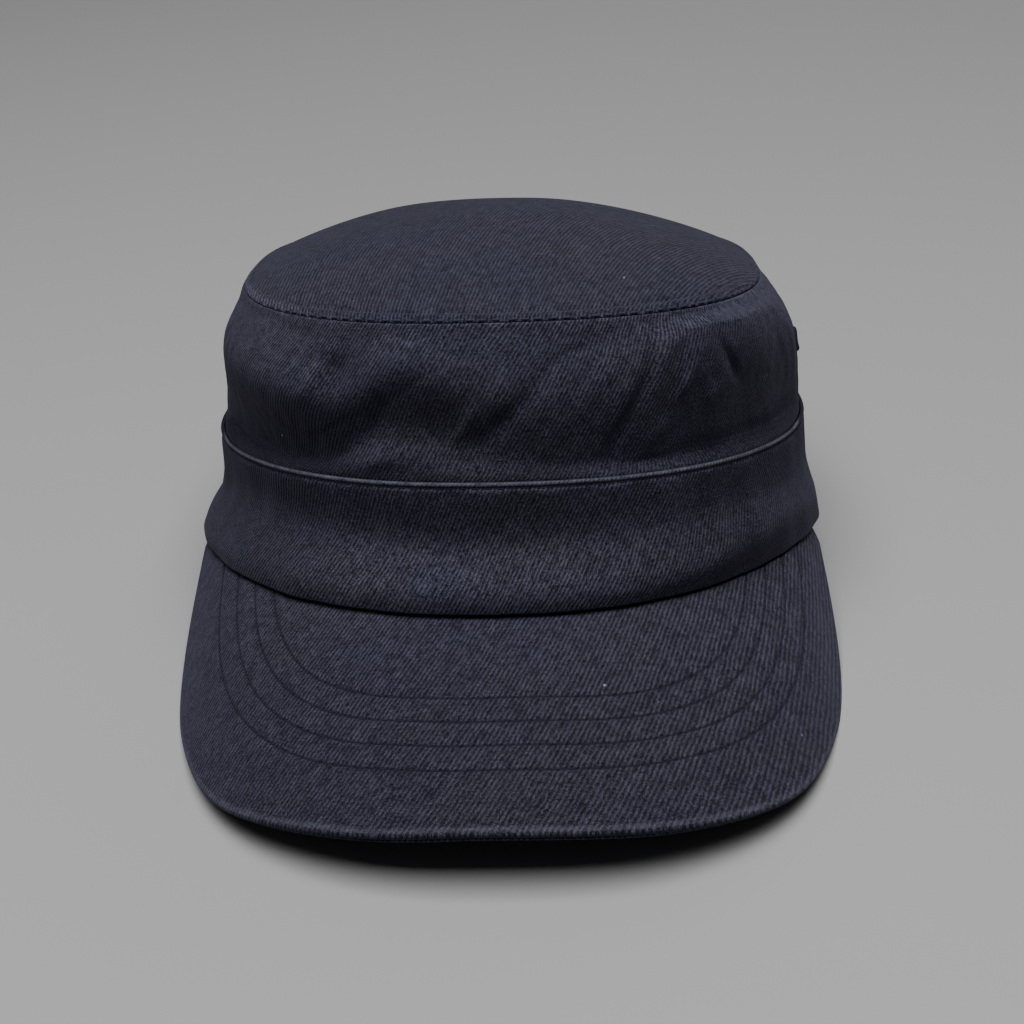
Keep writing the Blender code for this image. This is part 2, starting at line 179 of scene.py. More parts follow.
class CapSizes(bpy.types.PropertyGroup):
    """Sizes of the cap's shape."""

    hem_half_width: length("Hem half width", 89.2, "Half the outer width of the head opening")
    hem_half_length: length("Hem half length", 103.0, "Half the outer length of the head opening")
    hem_square: share("Hem squareness", 2.17, "Exponent of the hem's oval, 2 for an ellipse")
    band_front: length("Band front height", 33.9, "Height of the band at the front")
    band_rear: length("Band rear height", 28.7, "Height of the band at the rear")
    band_lean_side: length("Band lean at the sides", 5.4, "How far the band leans in at a side")
    band_lean_end: length("Band lean at the ends", 4.4, "How far the band leans in front and rear")
    band_forward: length("Band forward shift", 3.9, "Forward shift of the band's folded edge")
    band_aside: length("Band side shift", 1.7, "Shift of the band's folded edge towards +X")
    band_square: share("Band squareness", 2.3, "Exponent of the folded edge's oval")
    band_flare: share("Band flare", 2.1, "How late the band flares out, going down")
    band_swell: length("Band swell", 0.9, "How far the band bulges over the peak")
    hem_spread: length("Hem spread", 1.7, "How far the hem stands out further at the sides")
    hem_edge: length("Hem edge thickness", 1.2, "Thickness of the band at the hem")
    band_cloth: length("Band cloth", 1.9, "Thickness of the band's folded cloth")
    hem_lift: length("Hem lift", 0.15, "How far the hem's curled edge stays above the peak's root")
    band_edge: length("Folded edge thickness", 1.05, "Thickness of the band at its folded edge")
    band_bead: length("Folded edge bead", 0.20, "How far the band's folded edge stands out")
    bead_down: length("Bead place", 0.40, "Place of the bead under the band's folded edge")
    bead_width: length("Bead width", 0.45, "Half width of the bead along the folded edge")
    ditch_width: length("Ditch width", 0.50, "Half width of the ditch along the band's stitches")
    wall_front: length("Wall front height", 38.3, "Height of the crown wall at the front")
    wall_rear: length("Wall rear height", 41.1, "Height of the crown wall at the rear")
    wall_lean_side: length("Wall lean at the sides", 12.1, "How far the wall leans in at a side")
    wall_lean_end: length("Wall lean at the ends", 15.2, "How far the wall leans in at an end")
    wall_forward: length("Wall forward shift", 9.9, "Forward shift of the top seam")
    wall_aside: length("Wall side shift", -1.3, "Shift of the top seam towards +X")
    wall_shoulder: share("Wall shoulder", 2.4, "How late the wall leans in, going up")
    wall_setback: length("Wall setback", 1.1, "Setback of the wall above the band")
    wall_tuck: share("Wall tuck", 0.86, "How far down the band the wall reaches behind it")
    wall_above: length("Wall above", 0.55, "How far the wall's cloth runs on past the top seam")
    seam_lean: length("Seam lean", 2.4, "How far the seam's rear leans, up at -X and down at +X")
    seam_welt: length("Seam welt", 0.65, "How far the crown wall swells where the seam is turned")
    wall_cloth: length("Wall cloth", 1.2, "Thickness of the crown wall")
    fold_depth: length("Fold depth", 3.0, "Depth of a full fold in the crown wall")
    top_square: share("Top squareness", 2.54, "Exponent of the top seam's oval")
    top_cloth: length("Top cloth", 1.2, "Thickness of the top panel")
    top_edge: length("Top edge thickness", 0.8, "Thickness of the top panel at its edge")
    top_thinning: length("Top thinning", 3.0, "Width over which the top panel thins to its edge")
    top_lap: length("Top lap", 2.1, "Width of the strip raised by the seam's turned cloth")
    strip_height: length("Strip height", 0.34, "How high the strip along the seam is raised")
    strip_ditch: length("Strip ditch", 0.30, "Depth of the ditch on the strip's inner side")
    strip_round: length("Strip rounding", 0.9, "Half width of the ditch and of the rolled edge")
    top_uneven: length("Top unevenness", 0.40, "Height of the top panel's gentle waves")
    dome_rise: length("Dome rise", 17.5, "Height of the top panel's dome")
    dome_power: share("Dome power", 2.1, "How late the dome falls, going outwards")
    peak_length: length("Peak length", 68.0, "Depth of the peak ahead of the hem")
    peak_corner: angle("Peak corner", 74.4, "Turn round the hem at which the peak ends")
    peak_square: share("Peak squareness", 2.6, "Exponent of the peak's outline")
    peak_flare: length("Peak flare", 3.8, "How far the peak widens ahead of its corners")
    corner_aside: length("Corner widening", 1.5, "How much wider the peak's corner at +X is")
    front_corner: length("Front corner fullness", 1.3, "How far the peak's front corners bulge")
    front_skew: length("Front skew", 1.0, "How much further the peak reaches at +X than at -X")
    peak_fall: share("Peak fall", 0.41, "Drop of the peak for each length forward")
    peak_arch: length("Peak arch", 7.3, "Extra drop of the peak at its sides")
    peak_bend: share("Peak bend share", 0.95, "Share of the hem's width that bends the peak")
    root_dip: length("Root dip", 0.2, "How far the peak's cloth dips where it meets the hem")
    root_dip_width: length("Root dip width", 1.6, "How far the dip at the peak's root spreads")
    peak_tuck: length("Peak tuck", 2.6, "How far the peak reaches under the hem")
    peak_cover: length("Peak cover", 1.9, "Thickness of the peak's cover and board")
    peak_lining: length("Peak lining", 1.1, "Thickness of the cloth under the peak")
    peak_lining_inset: length("Lining inset", 0.6, "Setback of the lining's edge from the rim")
    gap: length("Gap", 0.3, "Clearance between neighbouring pieces")
    eyelet_radius: length("Eyelet radius", 3.7, "Outer radius of a vent eyelet")
    eyelet_bore: length("Eyelet bore radius", 1.7, "Radius of a vent eyelet's hole")
    eyelet_height: length("Eyelet half height", 1.5, "Half the height of an eyelet's ring")
    eyelet_up: share("Eyelet height share", 0.52, "Place of the eyelets up the crown wall")
    eyelet_left_turn: angle("Left eyelet turn", 81.0, "Place of the eyelet on the wearer's left")
    eyelet_right_turn: angle("Right eyelet turn", -84.0, "Place of the wearer's right eyelet")
    tilt: angle("Rest tilt", 9.8115, "How far the cap leans back at rest")
    rest_shift: length("Rest shift", 35.9037, "Backward shift of the cap's own frame at rest")
    rest_lift: length("Rest lift", 16.952, "Height of the cap's own frame at rest")


class SewingSizes(bpy.types.PropertyGroup):
    """Sizes of the stitching and of the twill."""

    stitch_pitch: length("Stitch pitch", 3.1, "Distance from one stitch to the next")
    stitch_length: length("Stitch length", 2.45, "Length of a stitch on the surface")
    seam_thread: length("Seam thread radius", 0.30, "Radius of the dark stitches in the top seam")
    thread_radius: length("Thread radius", 0.23, "Radius of the sewing thread")
    row_aside: length("Row aside", 1.0, "How far the stitch rows lie to +X of the peak's middle")
    row_width: length("First row half width", 63.5, "Half width of the innermost stitch row")
    row_reach: length("First row reach", 80.5, "Reach of the innermost stitch row")
    row_widen: length("Row widening", 5.1, "How much wider each next stitch row is")
    row_extend: length("Row extension", 7.4, "How much further each next stitch row reaches")
    row_behind: length("Row start", 50.0, "How far ahead of the middle the rows' bows begin")
    row_square: share("First row squareness", 2.83, "Exponent of the innermost row's bow")
    row_soften: share("Row softening", 0.1, "How much rounder each next row is")
    row_groove: length("Row groove", 0.26, "Depth of the groove along a stitch row")
    row_groove_width: length("Row groove width", 0.65, "Half width of the groove along a row")
    row_margin: length("Row margin", 1.2, "How far ahead of the hem the stitch rows end")
    seam_pitch: length("Seam pitch", 3.5, "Distance between the pulls of the top seam")
    seam_pull: length("Seam pull", 0.20, "How far the top seam is pulled in at a stitch")
    seam_reach: length("Seam reach", 1.5, "How far a pull of the top seam spreads")
    hem_stitch_down: length("Edge stitch place", 1.45, "How far under the band's edge it is sewn")
    wall_pitch: length("Crown wale pitch", 1.0, "Distance between the lines on crown and band")
    top_pitch: length("Top wale pitch", 1.18, "Distance between the lines on the top panel")
    peak_pitch: length("Peak wale pitch", 1.18, "Distance between the lines on the peak")
    fan: length("Wale fan", 370.0, "Radius by which the lines of peak and top fan out")
    wall_slant: angle("Crown wale slant", 63.0, "Slant of the twill's lines on the crown wall")
    band_slant: angle("Band wale slant", 65.0, "Slant of the twill's lines on the band")
    top_slant: angle("Top wale slant", 74.5, "Slant of the twill's lines on the top panel")
    peak_slant: angle("Peak wale slant", 66.0, "Slant of the twill's lines on the peak")
    weave_height: length("Weave height", 0.16, "Height of the twill's lines")


class CapColours(bpy.types.PropertyGroup):
    """Colours of the cloth and thread."""

    navy: colour("Navy", (0.0292, 0.0292, 0.0450), "Blue patches of the washed cloth")
    faded_and_facing_light: colour("Faded navy", (0.0316, 0.0302, 0.0422), "Greyer patches of the washed cloth")
    peak_navy: colour("Peak navy", (0.0310, 0.0303, 0.0465), "Blue patches of the peak")
    peak_faded: colour("Peak faded", (0.0334, 0.0314, 0.0444), "Greyer patches of the peak")
    # The pale edge colour stands partly for wear and partly for a painted highlight on rounded
    # edges
    lit_and_worn: colour("Worn edge", (0.115, 0.118, 0.150), "Cloth rubbed pale along its edges")
    lining: colour("Underside", (0.026, 0.028, 0.044), "Cloth under the peak")
    thread: colour("Thread", (0.012, 0.013, 0.022), "Sewing thread")
    lint: colour("Lint", (0.50, 0.50, 0.52), "Specks of lint on the cloth")
    floor: colour("Floor", (0.37, 0.366, 0.362), "Pale floor")


class StageSettings(bpy.types.PropertyGroup):
    """Camera and lights."""

    azimuth: angle("Camera azimuth", 1.529, "Camera's turn round the cap from the front, to +X")
    elevation: angle("Camera elevation", 26.521, "Camera's height above the level")
    roll: angle("Camera roll", -2.055, "Camera's roll about its line of sight")
    distance: length("Camera distance", 611.55, "Distance from the camera to its target")
    target_x: length("Target X", 0.35, "Place that the camera looks at")
    target_y: length("Target Y", 35.0, "Place that the camera looks at")
    target_z: length("Target Z", 12.7, "Place that the camera looks at")
    lens: share("Camera lens", 71.325, "Focal length in millimetres on a 36 mm frame")
    key: share("Key light", 27.0, "Power of the large light overhead, in watts")
    fill: share("Fill light", 5.5, "Power of the light behind, in watts")
    sky: share("Sky", 0.06, "Strength of the even light from all sides")


Ring = namedtuple("Ring", "half_width half_length aside shift front rear square")

# Gentle unevenness of a face: its height, the seed of its waves, the fewest and most waves round
# the cap, and the most that a wave leans over the height of the face, in radians
Ripple = namedtuple("Ripple", "height seed slowest fastest lean")
BAND_RIPPLE = Ripple(0.22 * MM, 11, 5, 40, 7.0)
WALL_RIPPLE = Ripple(0.45 * MM, 3, 4, 22, 6.0)
WALL_FINE_RIPPLE = Ripple(0.10 * MM, 5, 30, 90, 26.0)
PEAK_RIPPLE = Ripple(0.16 * MM, 21, 3, 26, 7.0)

# How the crown wall sags round the cap. Turn in degrees from the front, + to +X. Low and high are
# the shares of its height at which it is sunk in most and stands out most. Sink and swell are
# those depths as shares of the fold depth, and curl is the share of the swell that is lost again
# by the far edge.
Sag = namedtuple("Sag", "turn low high sink swell curl", defaults=[1.0])
WALL_SAGS = (
    Sag(-150, 0.20, 0.60, 0.20, 0.10),
    Sag(-104, 0.22, 0.62, 0.20, 0.10),
    Sag(-84, 0.12, 0.74, 0.25, 0.10),
    Sag(-74, 0.08, 0.76, 1.00, 0.45),
    Sag(-64, 0.06, 0.74, 1.50, 0.90),
    Sag(-54, 0.06, 0.70, 1.70, 1.20),
    Sag(-45, 0.06, 0.60, 1.50, 1.10),
    Sag(-37, 0.07, 0.56, 1.10, 0.85),
    Sag(-29, 0.10, 0.46, 0.70, 0.62),
    Sag(-22, 0.28, 0.66, 0.90, 0.75),
    Sag(-14, 0.35, 0.82, 1.00, 0.90),
    Sag(-7, 0.24, 0.70, 0.85, 0.75),
    Sag(0, 0.14, 0.56, 0.50, 0.50),
    Sag(7, 0.12, 0.60, 0.42, 0.48),
    Sag(13, 0.08, 0.60, 0.50, 0.50),
    Sag(19, 0.06, 0.58, 0.75, 0.70),
    Sag(26, 0.06, 0.78, 1.25, 1.10),
    Sag(35, 0.07, 0.92, 1.55, 1.35),
    Sag(48, 0.09, 0.93, 1.60, 1.35),
    Sag(62, 0.09, 0.90, 1.20, 1.10),
    Sag(78, 0.08, 0.80, 0.30, 0.60),
    Sag(90, 0.12, 0.72, -0.10, 0.40),
    Sag(110, 0.20, 0.70, 0.10, 0.20),
    Sag(150, 0.20, 0.60, 0.20, 0.10),
)
# The same for the band, with shares from its folded edge down to the hem
BAND_SAGS = (
    Sag(-130, 0.40, 0.80, 0.25, 0.15),
    Sag(-88, 0.68, 0.97, 0.28, 0.00),
    Sag(-79, 0.68, 0.97, 0.28, 0.05),
    Sag(-70, 0.42, 0.90, 0.65, 0.25),
    Sag(-55, 0.38, 0.88, 0.95, 0.50, 0.30),
    Sag(-30, 0.40, 0.90, 0.92, 0.65, 0.10),
    Sag(-9, 0.48, 0.90, 0.98, 0.70, 0.10),
    Sag(10, 0.44, 0.90, 0.68, 0.65, 0.15),
    Sag(28, 0.38, 0.84, 0.40, 0.70, 0.60),
    Sag(44, 0.34, 0.68, 0.25, 0.65, 1.20),
    Sag(60, 0.40, 0.68, 0.25, 0.40, 1.10),
    Sag(88, 0.40, 0.80, -0.20, 0.10),
    Sag(130, 0.40, 0.80, 0.25, 0.15),
)

# Folds of the crown wall. Up is the share of the wall's height. Slant in degrees from level. Along
# and across are half lengths as shares of the wall's front height, and deep is a share of the fold
# depth, minus for a fold that stands out.
Fold = namedtuple("Fold", "turn up slant along across deep")
WALL_FOLDS = (
    Fold(-33, 0.62, 46, 0.16, 0.08, -0.30),
    Fold(-27, 0.71, 20, 0.15, 0.10, 0.45),
    Fold(-19, 0.45, 51, 0.25, 0.06, 0.25),
    Fold(-19, 0.16, 10, 0.16, 0.08, -0.28),
    Fold(-5, 0.36, 60, 0.13, 0.040, -0.34),
    Fold(1, 0.46, 54, 0.34, 0.060, 0.40),
    Fold(10, 0.82, 24, 0.20, 0.050, 0.22),
    Fold(17, 0.76, 40, 0.13, 0.08, -0.24),
    Fold(21, 0.54, 61, 0.46, 0.055, 0.46),
    Fold(25, 0.27, 30, 0.16, 0.08, -0.24),
    Fold(31, 0.84, 44, 0.16, 0.06, 0.34),
    Fold(30, 0.57, 50, 0.17, 0.045, -0.42),
    Fold(37, 0.46, 20, 0.13, 0.07, -0.22),
    Fold(43, 0.63, -50, 0.19, 0.050, 0.40),
    Fold(57, 0.52, 68, 0.26, 0.07, -0.20),
    Fold(112, 0.36, 50, 0.60, 0.22, 0.60),
    Fold(-118, 0.32, -50, 0.60, 0.22, 0.60),
    Fold(158, 0.42, 35, 0.70, 0.24, 0.80),
    Fold(-165, 0.28, -25, 0.60, 0.22, 0.60),
)

# Creases of the crown wall: the same columns, narrower and shallower than the folds
WALL_CREASES = (
    Fold(17, 0.34, 56, 0.24, 0.022, 0.10),
    Fold(-30, 0.30, 24, 0.30, 0.030, 0.08),
    Fold(-12, 0.66, 34, 0.22, 0.026, 0.08),
    Fold(36, 0.74, 36, 0.24, 0.024, 0.08),
    Fold(60, 0.34, 60, 0.26, 0.028, 0.08),
    Fold(-62, 0.40, -40, 0.26, 0.030, 0.08),
    Fold(104, 0.48, 44, 0.34, 0.028, 0.12),
    Fold(-108, 0.44, -38, 0.34, 0.030, 0.12),
    Fold(150, 0.52, 20, 0.40, 0.030, 0.12),
    Fold(-152, 0.40, -28, 0.36, 0.030, 0.12),
)


def powered(value, square):
    """Superellipse coordinate: the value's size to the power 2 / square, its sign kept."""
    return np.sign(value) * np.abs(value) ** (2.0 / square)


def smooth_step(low, high, value):
    """0 below low, 1 above high and a smooth rise between them."""
    part = np.clip((value - low) / (high - low), 0.0, 1.0)
    return part * part * (3.0 - 2.0 * part)


def window(start, full, fading, end, value):
    """0 below start, 1 from full to fading and 0 above end, with smooth steps between them."""
    return smooth_step(start, full, value) * (1.0 - smooth_step(fading, end, value))


def between(low, high, plan, height):
    """Ring between two rings: its outline moved by the share plan, its height by height."""
    mixed = [a + (b - a) * plan for a, b in zip(low, high)]
    ring = Ring(*mixed)
    return ring._replace(
        front=low.front + (high.front - low.front) * height,
        rear=low.rear + (high.rear - low.rear) * height,
    )


def along_ring(ring, turn):
    """Points of a ring at the turns given, 0 at the front and + towards +X."""
    x = ring.aside + ring.half_width * powered(np.sin(turn), ring.square)
    reach = powered(np.cos(turn), ring.square)
    y = ring.shift - ring.half_length * reach
    z = ring.front + (ring.rear - ring.front) * (1.0 - reach) / 2.0
    return np.stack(np.broadcast_arrays(x, y, z), axis=-1)


def outward(ring, turn):
    """Level unit vectors that point out of a ring at the turns given."""
    slope = ring.square / (ring.square - 1.0)
    x = powered(np.sin(turn), slope) / ring.half_width
    y = -powered(np.cos(turn), slope) / ring.half_length
    size = np.hypot(x, y)
    return np.stack(np.broadcast_arrays(x / size, y / size, 0.0 * size), axis=-1)


def run_along(points):
    """Length along a line of points up to each of them."""
    steps = np.linalg.norm(np.diff(points, axis=0), axis=1)
    return np.concatenate([[0.0], np.cumsum(steps)])


def points_at(places, run, points):
    """Points at places along a line of points, where run is the length up to each of them."""
    return np.stack([np.interp(places, run, column) for column in points.T], axis=-1)


def even_turns(ring):
    """Turns spaced evenly along a ring, from the rear round by -X, and the length up to each."""
    dense = np.linspace(-math.pi, math.pi, OUTLINE_POINTS * RING_COLUMNS + 1)
    run = run_along(along_ring(ring, dense))
    places = np.linspace(0.0, run[-1], RING_COLUMNS + 1)
    return np.interp(places, run, dense), places


def evenly(points, trim):
    """Points spaced evenly along a line of points, a length trimmed from both of its ends."""
    run = run_along(points)
    return points_at(np.linspace(trim, run[-1] - trim, PEAK_COLUMNS), run, points)


def sagging(turn, level, sags):
    """Depth of a sagging cloth: smooth steps from 0 at one edge, sunk at the low line, swollen
    at the high line and back to 0 at the other edge, the lines blended smoothly round the cap.
    """
    dense = np.arange(-180.0, 180.0, 1.0)
    waves = np.fft.rfftfreq(dense.size, 1.0)
    blend = np.exp(-0.5 * (2.0 * math.pi * waves * SAG_BLEND) ** 2)
    at = [sag.turn for sag in sags]
    lines = []
    for column in list(zip(*sags))[1:]:
        line = np.interp(dense, at, column, period=360.0)
        smooth = np.fft.irfft(np.fft.rfft(line) * blend, dense.size)
        lines.append(np.interp(np.degrees(turn), dense, smooth, period=360.0))
    low, high, sink, swell, curl = lines
    depth = sink * smooth_step(0.0, low, level) - (sink + swell) * smooth_step(low, high, level)
    return depth + curl * swell * smooth_step(high, 1.0, level)


def faded_and_facing_light(face, turn):
    """Painted light on a ring's cloth: paler where it faces up, painted shade at the sides and
    facing down.
    """
    facing = np.clip(2.0 * face_normals(face, True)[..., 2] - 0.4, -1.6, 0.4)
    aside = np.degrees(turn)
    sides = window(42.0, 68.0, 78.0, 98.0, abs(aside))
    return facing - np.where(aside > 0.0, 0.45, 0.7) * sides


def dents(turn, up, folds, radius, height):
    """Sum of the folds: each one a hollow or a hill that fades as exp(-r squared) along and across.

    Places round the wall are its turn times the radius, as shares of its height.
    """
    depth = 0.0 * turn * up
    for fold in folds:
        offset = (turn - math.radians(fold.turn) + math.pi) % (2.0 * math.pi) - math.pi
        level = offset * radius / height
        rise = up - fold.up
        slant = math.radians(fold.slant)
        along = level * math.cos(slant) + rise * math.sin(slant)
        across = rise * math.cos(slant) - level * math.sin(slant)
        away = (along / fold.along) ** 2 + (across / fold.across) ** 2
        depth = depth + fold.deep * np.exp(-away)
    return depth


def ripples(turn, up, ripple):
    """Gentle unevenness: seeded sine waves, each with a whole number of turns, added up."""
    draw = np.random.default_rng(ripple.seed)
    total = 0.0 * turn * up
    for _ in range(RIPPLE_WAVES):
        around = draw.integers(ripple.slowest, ripple.fastest)
        steep = draw.uniform(-ripple.lean, ripple.lean)
        phase = draw.uniform(0.0, 2.0 * math.pi)
        total = total + np.sin(around * turn + steep * up + phase)
    return ripple.height * (total / math.sqrt(RIPPLE_WAVES))


def seam_pulls(turn, away, ring, sewing):
    """Pulls of a ring's seam: a cosine at the stitches' pitch, drifting and uneven in strength.

    It is pulled in at a stitch, puffed out a little between two and fades away from the seam.
    """
    girth = math.pi * (ring.half_width + ring.half_length)
    pulls = round(1.07 * girth / sewing.seam_pitch)
    drift = 1.3 * np.sin(9 * turn + 0.7) + 0.8 * np.sin(23 * turn + 2.1)
    strength = 0.72 + 0.28 * np.sin(31 * turn + 4.0) * np.sin(7 * turn + 1.0)
    pull = (0.35 + 0.65 * np.cos(pulls * turn + drift)) * strength
    return sewing.seam_pull * pull * np.exp(-((away / sewing.seam_reach) ** 2))


class CapShape:
    """The cap's surfaces, worked out from its sizes in its own frame."""

    def __init__(self, scene):
        self.sizes = scene.cap_sizes
        self.sewing = scene.cap_sewing
        size = self.sizes
        self.hem = Ring(size.hem_half_width, size.hem_half_length, 0, 0, 0, 0, size.hem_square)
        self.folded = Ring(
            self.hem.half_width - size.band_lean_side,
            self.hem.half_length - size.band_lean_end,
            size.band_aside,
            -size.band_forward,
            size.band_front,
            size.band_rear,
            size.band_square,
        )
        self.seam = Ring(
            self.folded.half_width - size.wall_lean_side,
            self.folded.half_length - size.wall_lean_end,
            self.folded.aside + size.wall_aside,
            self.folded.shift - size.wall_forward,
            self.folded.front + size.wall_front,
            self.folded.rear + size.wall_rear,
            size.top_square,
        )

    def at_rest(self, points):
        """Points leaned back to the resting place, and pressed flat where they meet the floor."""
        size = self.sizes
        cos, sin = math.cos(size.tilt), math.sin(size.tilt)
        x, y, z = points[..., 0], points[..., 1], points[..., 2]
        back = y * cos + z * sin + size.rest_shift
        height = z * cos - y * sin + size.rest_lift
        return np.stack([x, back, np.maximum(height, 0.0)], axis=-1)

    def hem_spread(self, turn):
        """How far the hem stands out further at a turn, a little more on the wearer's left."""
        aside = np.sin(turn)
        return self.sizes.hem_spread * smooth_step(0.6, 1.0, aside**2) * (1.0 + 0.18 * aside)

    def seam_lift(self, turn):
        """How far the top seam stands higher at a turn: up at the rear of -X, down at +X."""
        aside = np.sin(turn)
        lean = -self.sizes.seam_lean * aside * (1.0 - np.cos(turn)) / 2.0
        return lean * (1.0 - 0.6 * smooth_step(0.0, 1.0, aside))

    def band_ring(self, down):
        """Plain ring of the band, from its folded edge at 0 down to the hem at 1."""
        return between(self.folded, self.hem, down**self.sizes.band_flare, down)

    def band(self, turn, down):
        """Outer face of the band: plain rings moved out by a sum of smooth forms.

        It swells over the peak, sags, has a bead along its folded edge and a ditch along its
        stitches, is a little uneven, and stands out at the sides of the hem.
        """
        size = self.sizes
        swell = size.band_swell * np.sin(0.72 * math.pi * down * down) * np.cos(turn) ** 2
        hollow = sagging(turn, down, BAND_SAGS) * size.fold_depth
        below = down * size.band_front
        bead = size.band_bead * np.exp(-(((below - size.bead_down) / size.bead_width) ** 2))
        from_stitches = (below - self.sewing.hem_stitch_down) / size.ditch_width
        ditch = 2.0 * size.band_bead * np.exp(-(from_stitches**2))
        uneven = ripples(turn, down, BAND_RIPPLE) * smooth_step(0.0, 0.1, down)
        waist = 0.5 - 0.1 * np.sin(turn)
        spread = self.hem_spread(turn) * smooth_step(waist, 1.0, down)
        out = swell - hollow + bead - ditch + uneven + spread
        ring = self.band_ring(down)
        return along_ring(ring, turn) + outward(ring, turn) * out[..., None]

    def wall_freedom(self, up):
        """How free the wall's cloth is to fold: 0 at both of its sewn edges and 1 between them."""
        return smooth_step(0.0, 0.12, up) * smooth_step(0.0, 0.15, 1.0 - up)

    def wall_folds(self, turn, up):
        """Share of the fold depth in the crown wall's folds and creases, fading at its edges."""
        radius = (self.folded.half_width + self.folded.half_length) / 2.0
        folds = dents(turn, up, WALL_FOLDS + WALL_CREASES, radius, self.sizes.wall_front)
        return folds * self.wall_freedom(up)

    def wall_relief(self, turn, up):
        """Depth of the crown wall's sags, folds and creases."""
        return self.sizes.fold_depth * (self.wall_folds(turn, up) + sagging(turn, up, WALL_SAGS))

    def wall(self, turn, up):
        """Outer face of the crown wall, from the band's folded edge at 0 to the top seam at 1.

        Rings between the two are set in behind the band's edge, then by the sags and folds and
        a slow and a fine unevenness, and swell out again under the seam.
        """
        size = self.sizes
        ring = between(self.folded, self.seam, up**size.wall_shoulder, up)
        clear = smooth_step(0.0, 1.0 / 12.0, up)
        inset = size.band_edge + (size.wall_setback * (1.0 - up) - size.band_edge) * clear
        uneven = ripples(turn, up, WALL_RIPPLE) + ripples(turn, up, WALL_FINE_RIPPLE)
        welt = size.seam_welt * smooth_step(0.9, 1.02, up)
        inset = inset + self.wall_relief(turn, up) + uneven * self.wall_freedom(up) - welt
        points = along_ring(ring, turn) - outward(ring, turn) * inset[..., None]
        points[..., 2] += self.seam_lift(turn) * smooth_step(0.0, 1.0, up)
        return points

    def tuck(self, turn, down):
        """Outer face of the crown wall behind the band, down from the folded edge at 0.

        It steps back behind the band's cloth, and further where the band sags inwards.
        """
        size = self.sizes
        ring = self.band_ring(down)
        behind = size.band_cloth + 2.0 * size.gap
        inset = size.band_edge + (behind - size.band_edge) * smooth_step(0.0, 0.12, down)
        inset = inset + size.fold_depth * np.maximum(sagging(turn, down, BAND_SAGS), 0.0)
        return along_ring(ring, turn) - outward(ring, turn) * inset[..., None]

    def top(self, turn, part):
        """Outer face of the top panel: the top seam shrunk by a part and raised to a dome.

        Along the seam the cloth turned in under it raises a strip with a ditch beside it, and
        the very edge rolls down. Two sines make the dome a little uneven.
        """
        size = self.sizes
        seam = self.seam
        edge_slope = size.dome_rise * size.dome_power / seam.half_width
        lift = (size.top_cloth + size.gap) * math.hypot(1.0, edge_slope)
        middle = np.array([seam.aside, seam.shift, (seam.front + seam.rear) / 2.0])
        edge = along_ring(seam, turn)
        edge[..., 2] += self.seam_lift(turn)
        points = middle + (edge - middle) * part[..., None]
        inwards = (1.0 - part) * seam.half_width
        ditch_place = size.top_lap * 1.4
        strip = size.strip_height * (1.0 - smooth_step(size.top_lap, ditch_place, inwards))
        from_ditch = (inwards - ditch_place) / size.strip_round
        ditch = size.strip_ditch * np.exp(-(from_ditch**2))
        turned = size.top_edge * np.exp(-((inwards / size.strip_round) ** 2))
        x = part * np.sin(turn)
        y = part * np.cos(turn)
        waves = np.sin(7.0 * x + 3.0 * y + 0.6) + np.sin(4.0 * y - 6.0 * x + 2.0)
        dome = size.dome_rise * (1.0 - part**size.dome_power)
        uneven = size.top_uneven * waves * (1.0 - part**4)
        points[..., 2] += lift + dome + strip - ditch - turned + uneven
        return points

    def hem_front(self, x):
        """Y of the hem's front arc at each x, carried on straight past the peak's bend share."""
        size = self.sizes
        inner = np.minimum(np.abs(x) / size.hem_half_width, size.peak_bend)
        fullness = 1.0 - inner**size.hem_square
        arc = -size.hem_half_length * fullness ** (1.0 / size.hem_square)
        slope = -arc / fullness * inner ** (size.hem_square - 1.0)
        return arc + slope * (np.abs(x) / size.hem_half_width - inner)

    def row_bow(self, row):
        """Half width, reach and exponent of a row's bow, which change evenly from row to row."""
        sewing = self.sewing
        width = sewing.row_width + sewing.row_widen * row
        reach = sewing.row_reach + sewing.row_extend * row
        return width, reach, sewing.row_square - sewing.row_soften * row

    def stitch_row(self, x, y):
        """Number of the stitch row through each plan point, 0 for the innermost, by halving."""
        sewing = self.sewing
        ahead = np.maximum(-sewing.row_behind - y, 0.0)
        low = np.full(np.shape(x), -ROW_LIMIT)
        high = np.full(np.shape(x), ROW_LIMIT)
        for _ in range(ROW_HALVINGS):
            row = (low + high) / 2.0
            width, reach, square = self.row_bow(row)
            wide = np.abs(x - sewing.row_aside) / width
            beyond = wide**square + (ahead / reach) ** square > 1.0
            low = np.where(beyond, row, low)
            high = np.where(beyond, high, row)
        return (low + high) / 2.0

    def peak_height(self, x, y):
        """Height of the peak's upper face: straight lines down from the hem, steeper aside.

        It dips at its root, has a groove along each stitch row and is a little uneven.
        """
        size = self.sizes
        sewing = self.sewing
        ahead = np.maximum(self.hem_front(x) - y, 0.0)
        arch = size.peak_arch * (x / size.hem_half_width) ** 2 / size.peak_length
        row = self.stitch_row(x, y)
        spacing = (sewing.row_widen + sewing.row_extend) / 2.0
        away = (row - np.clip(np.round(row), 0.0, STITCH_ROWS - 1.0)) * spacing
        groove = sewing.row_groove * np.exp(-((away / sewing.row_groove_width) ** 2))
        turn = np.arctan2(x, ahead + 0.05)
        share_ahead = ahead / size.peak_length
        uneven = ripples(turn, share_ahead, PEAK_RIPPLE) * smooth_step(0.0, 0.2, share_ahead)
        dip = size.root_dip * np.exp(-((ahead / size.root_dip_width) ** 2))
        return -size.gap - (size.peak_fall + arch) * ahead - dip - groove + uneven

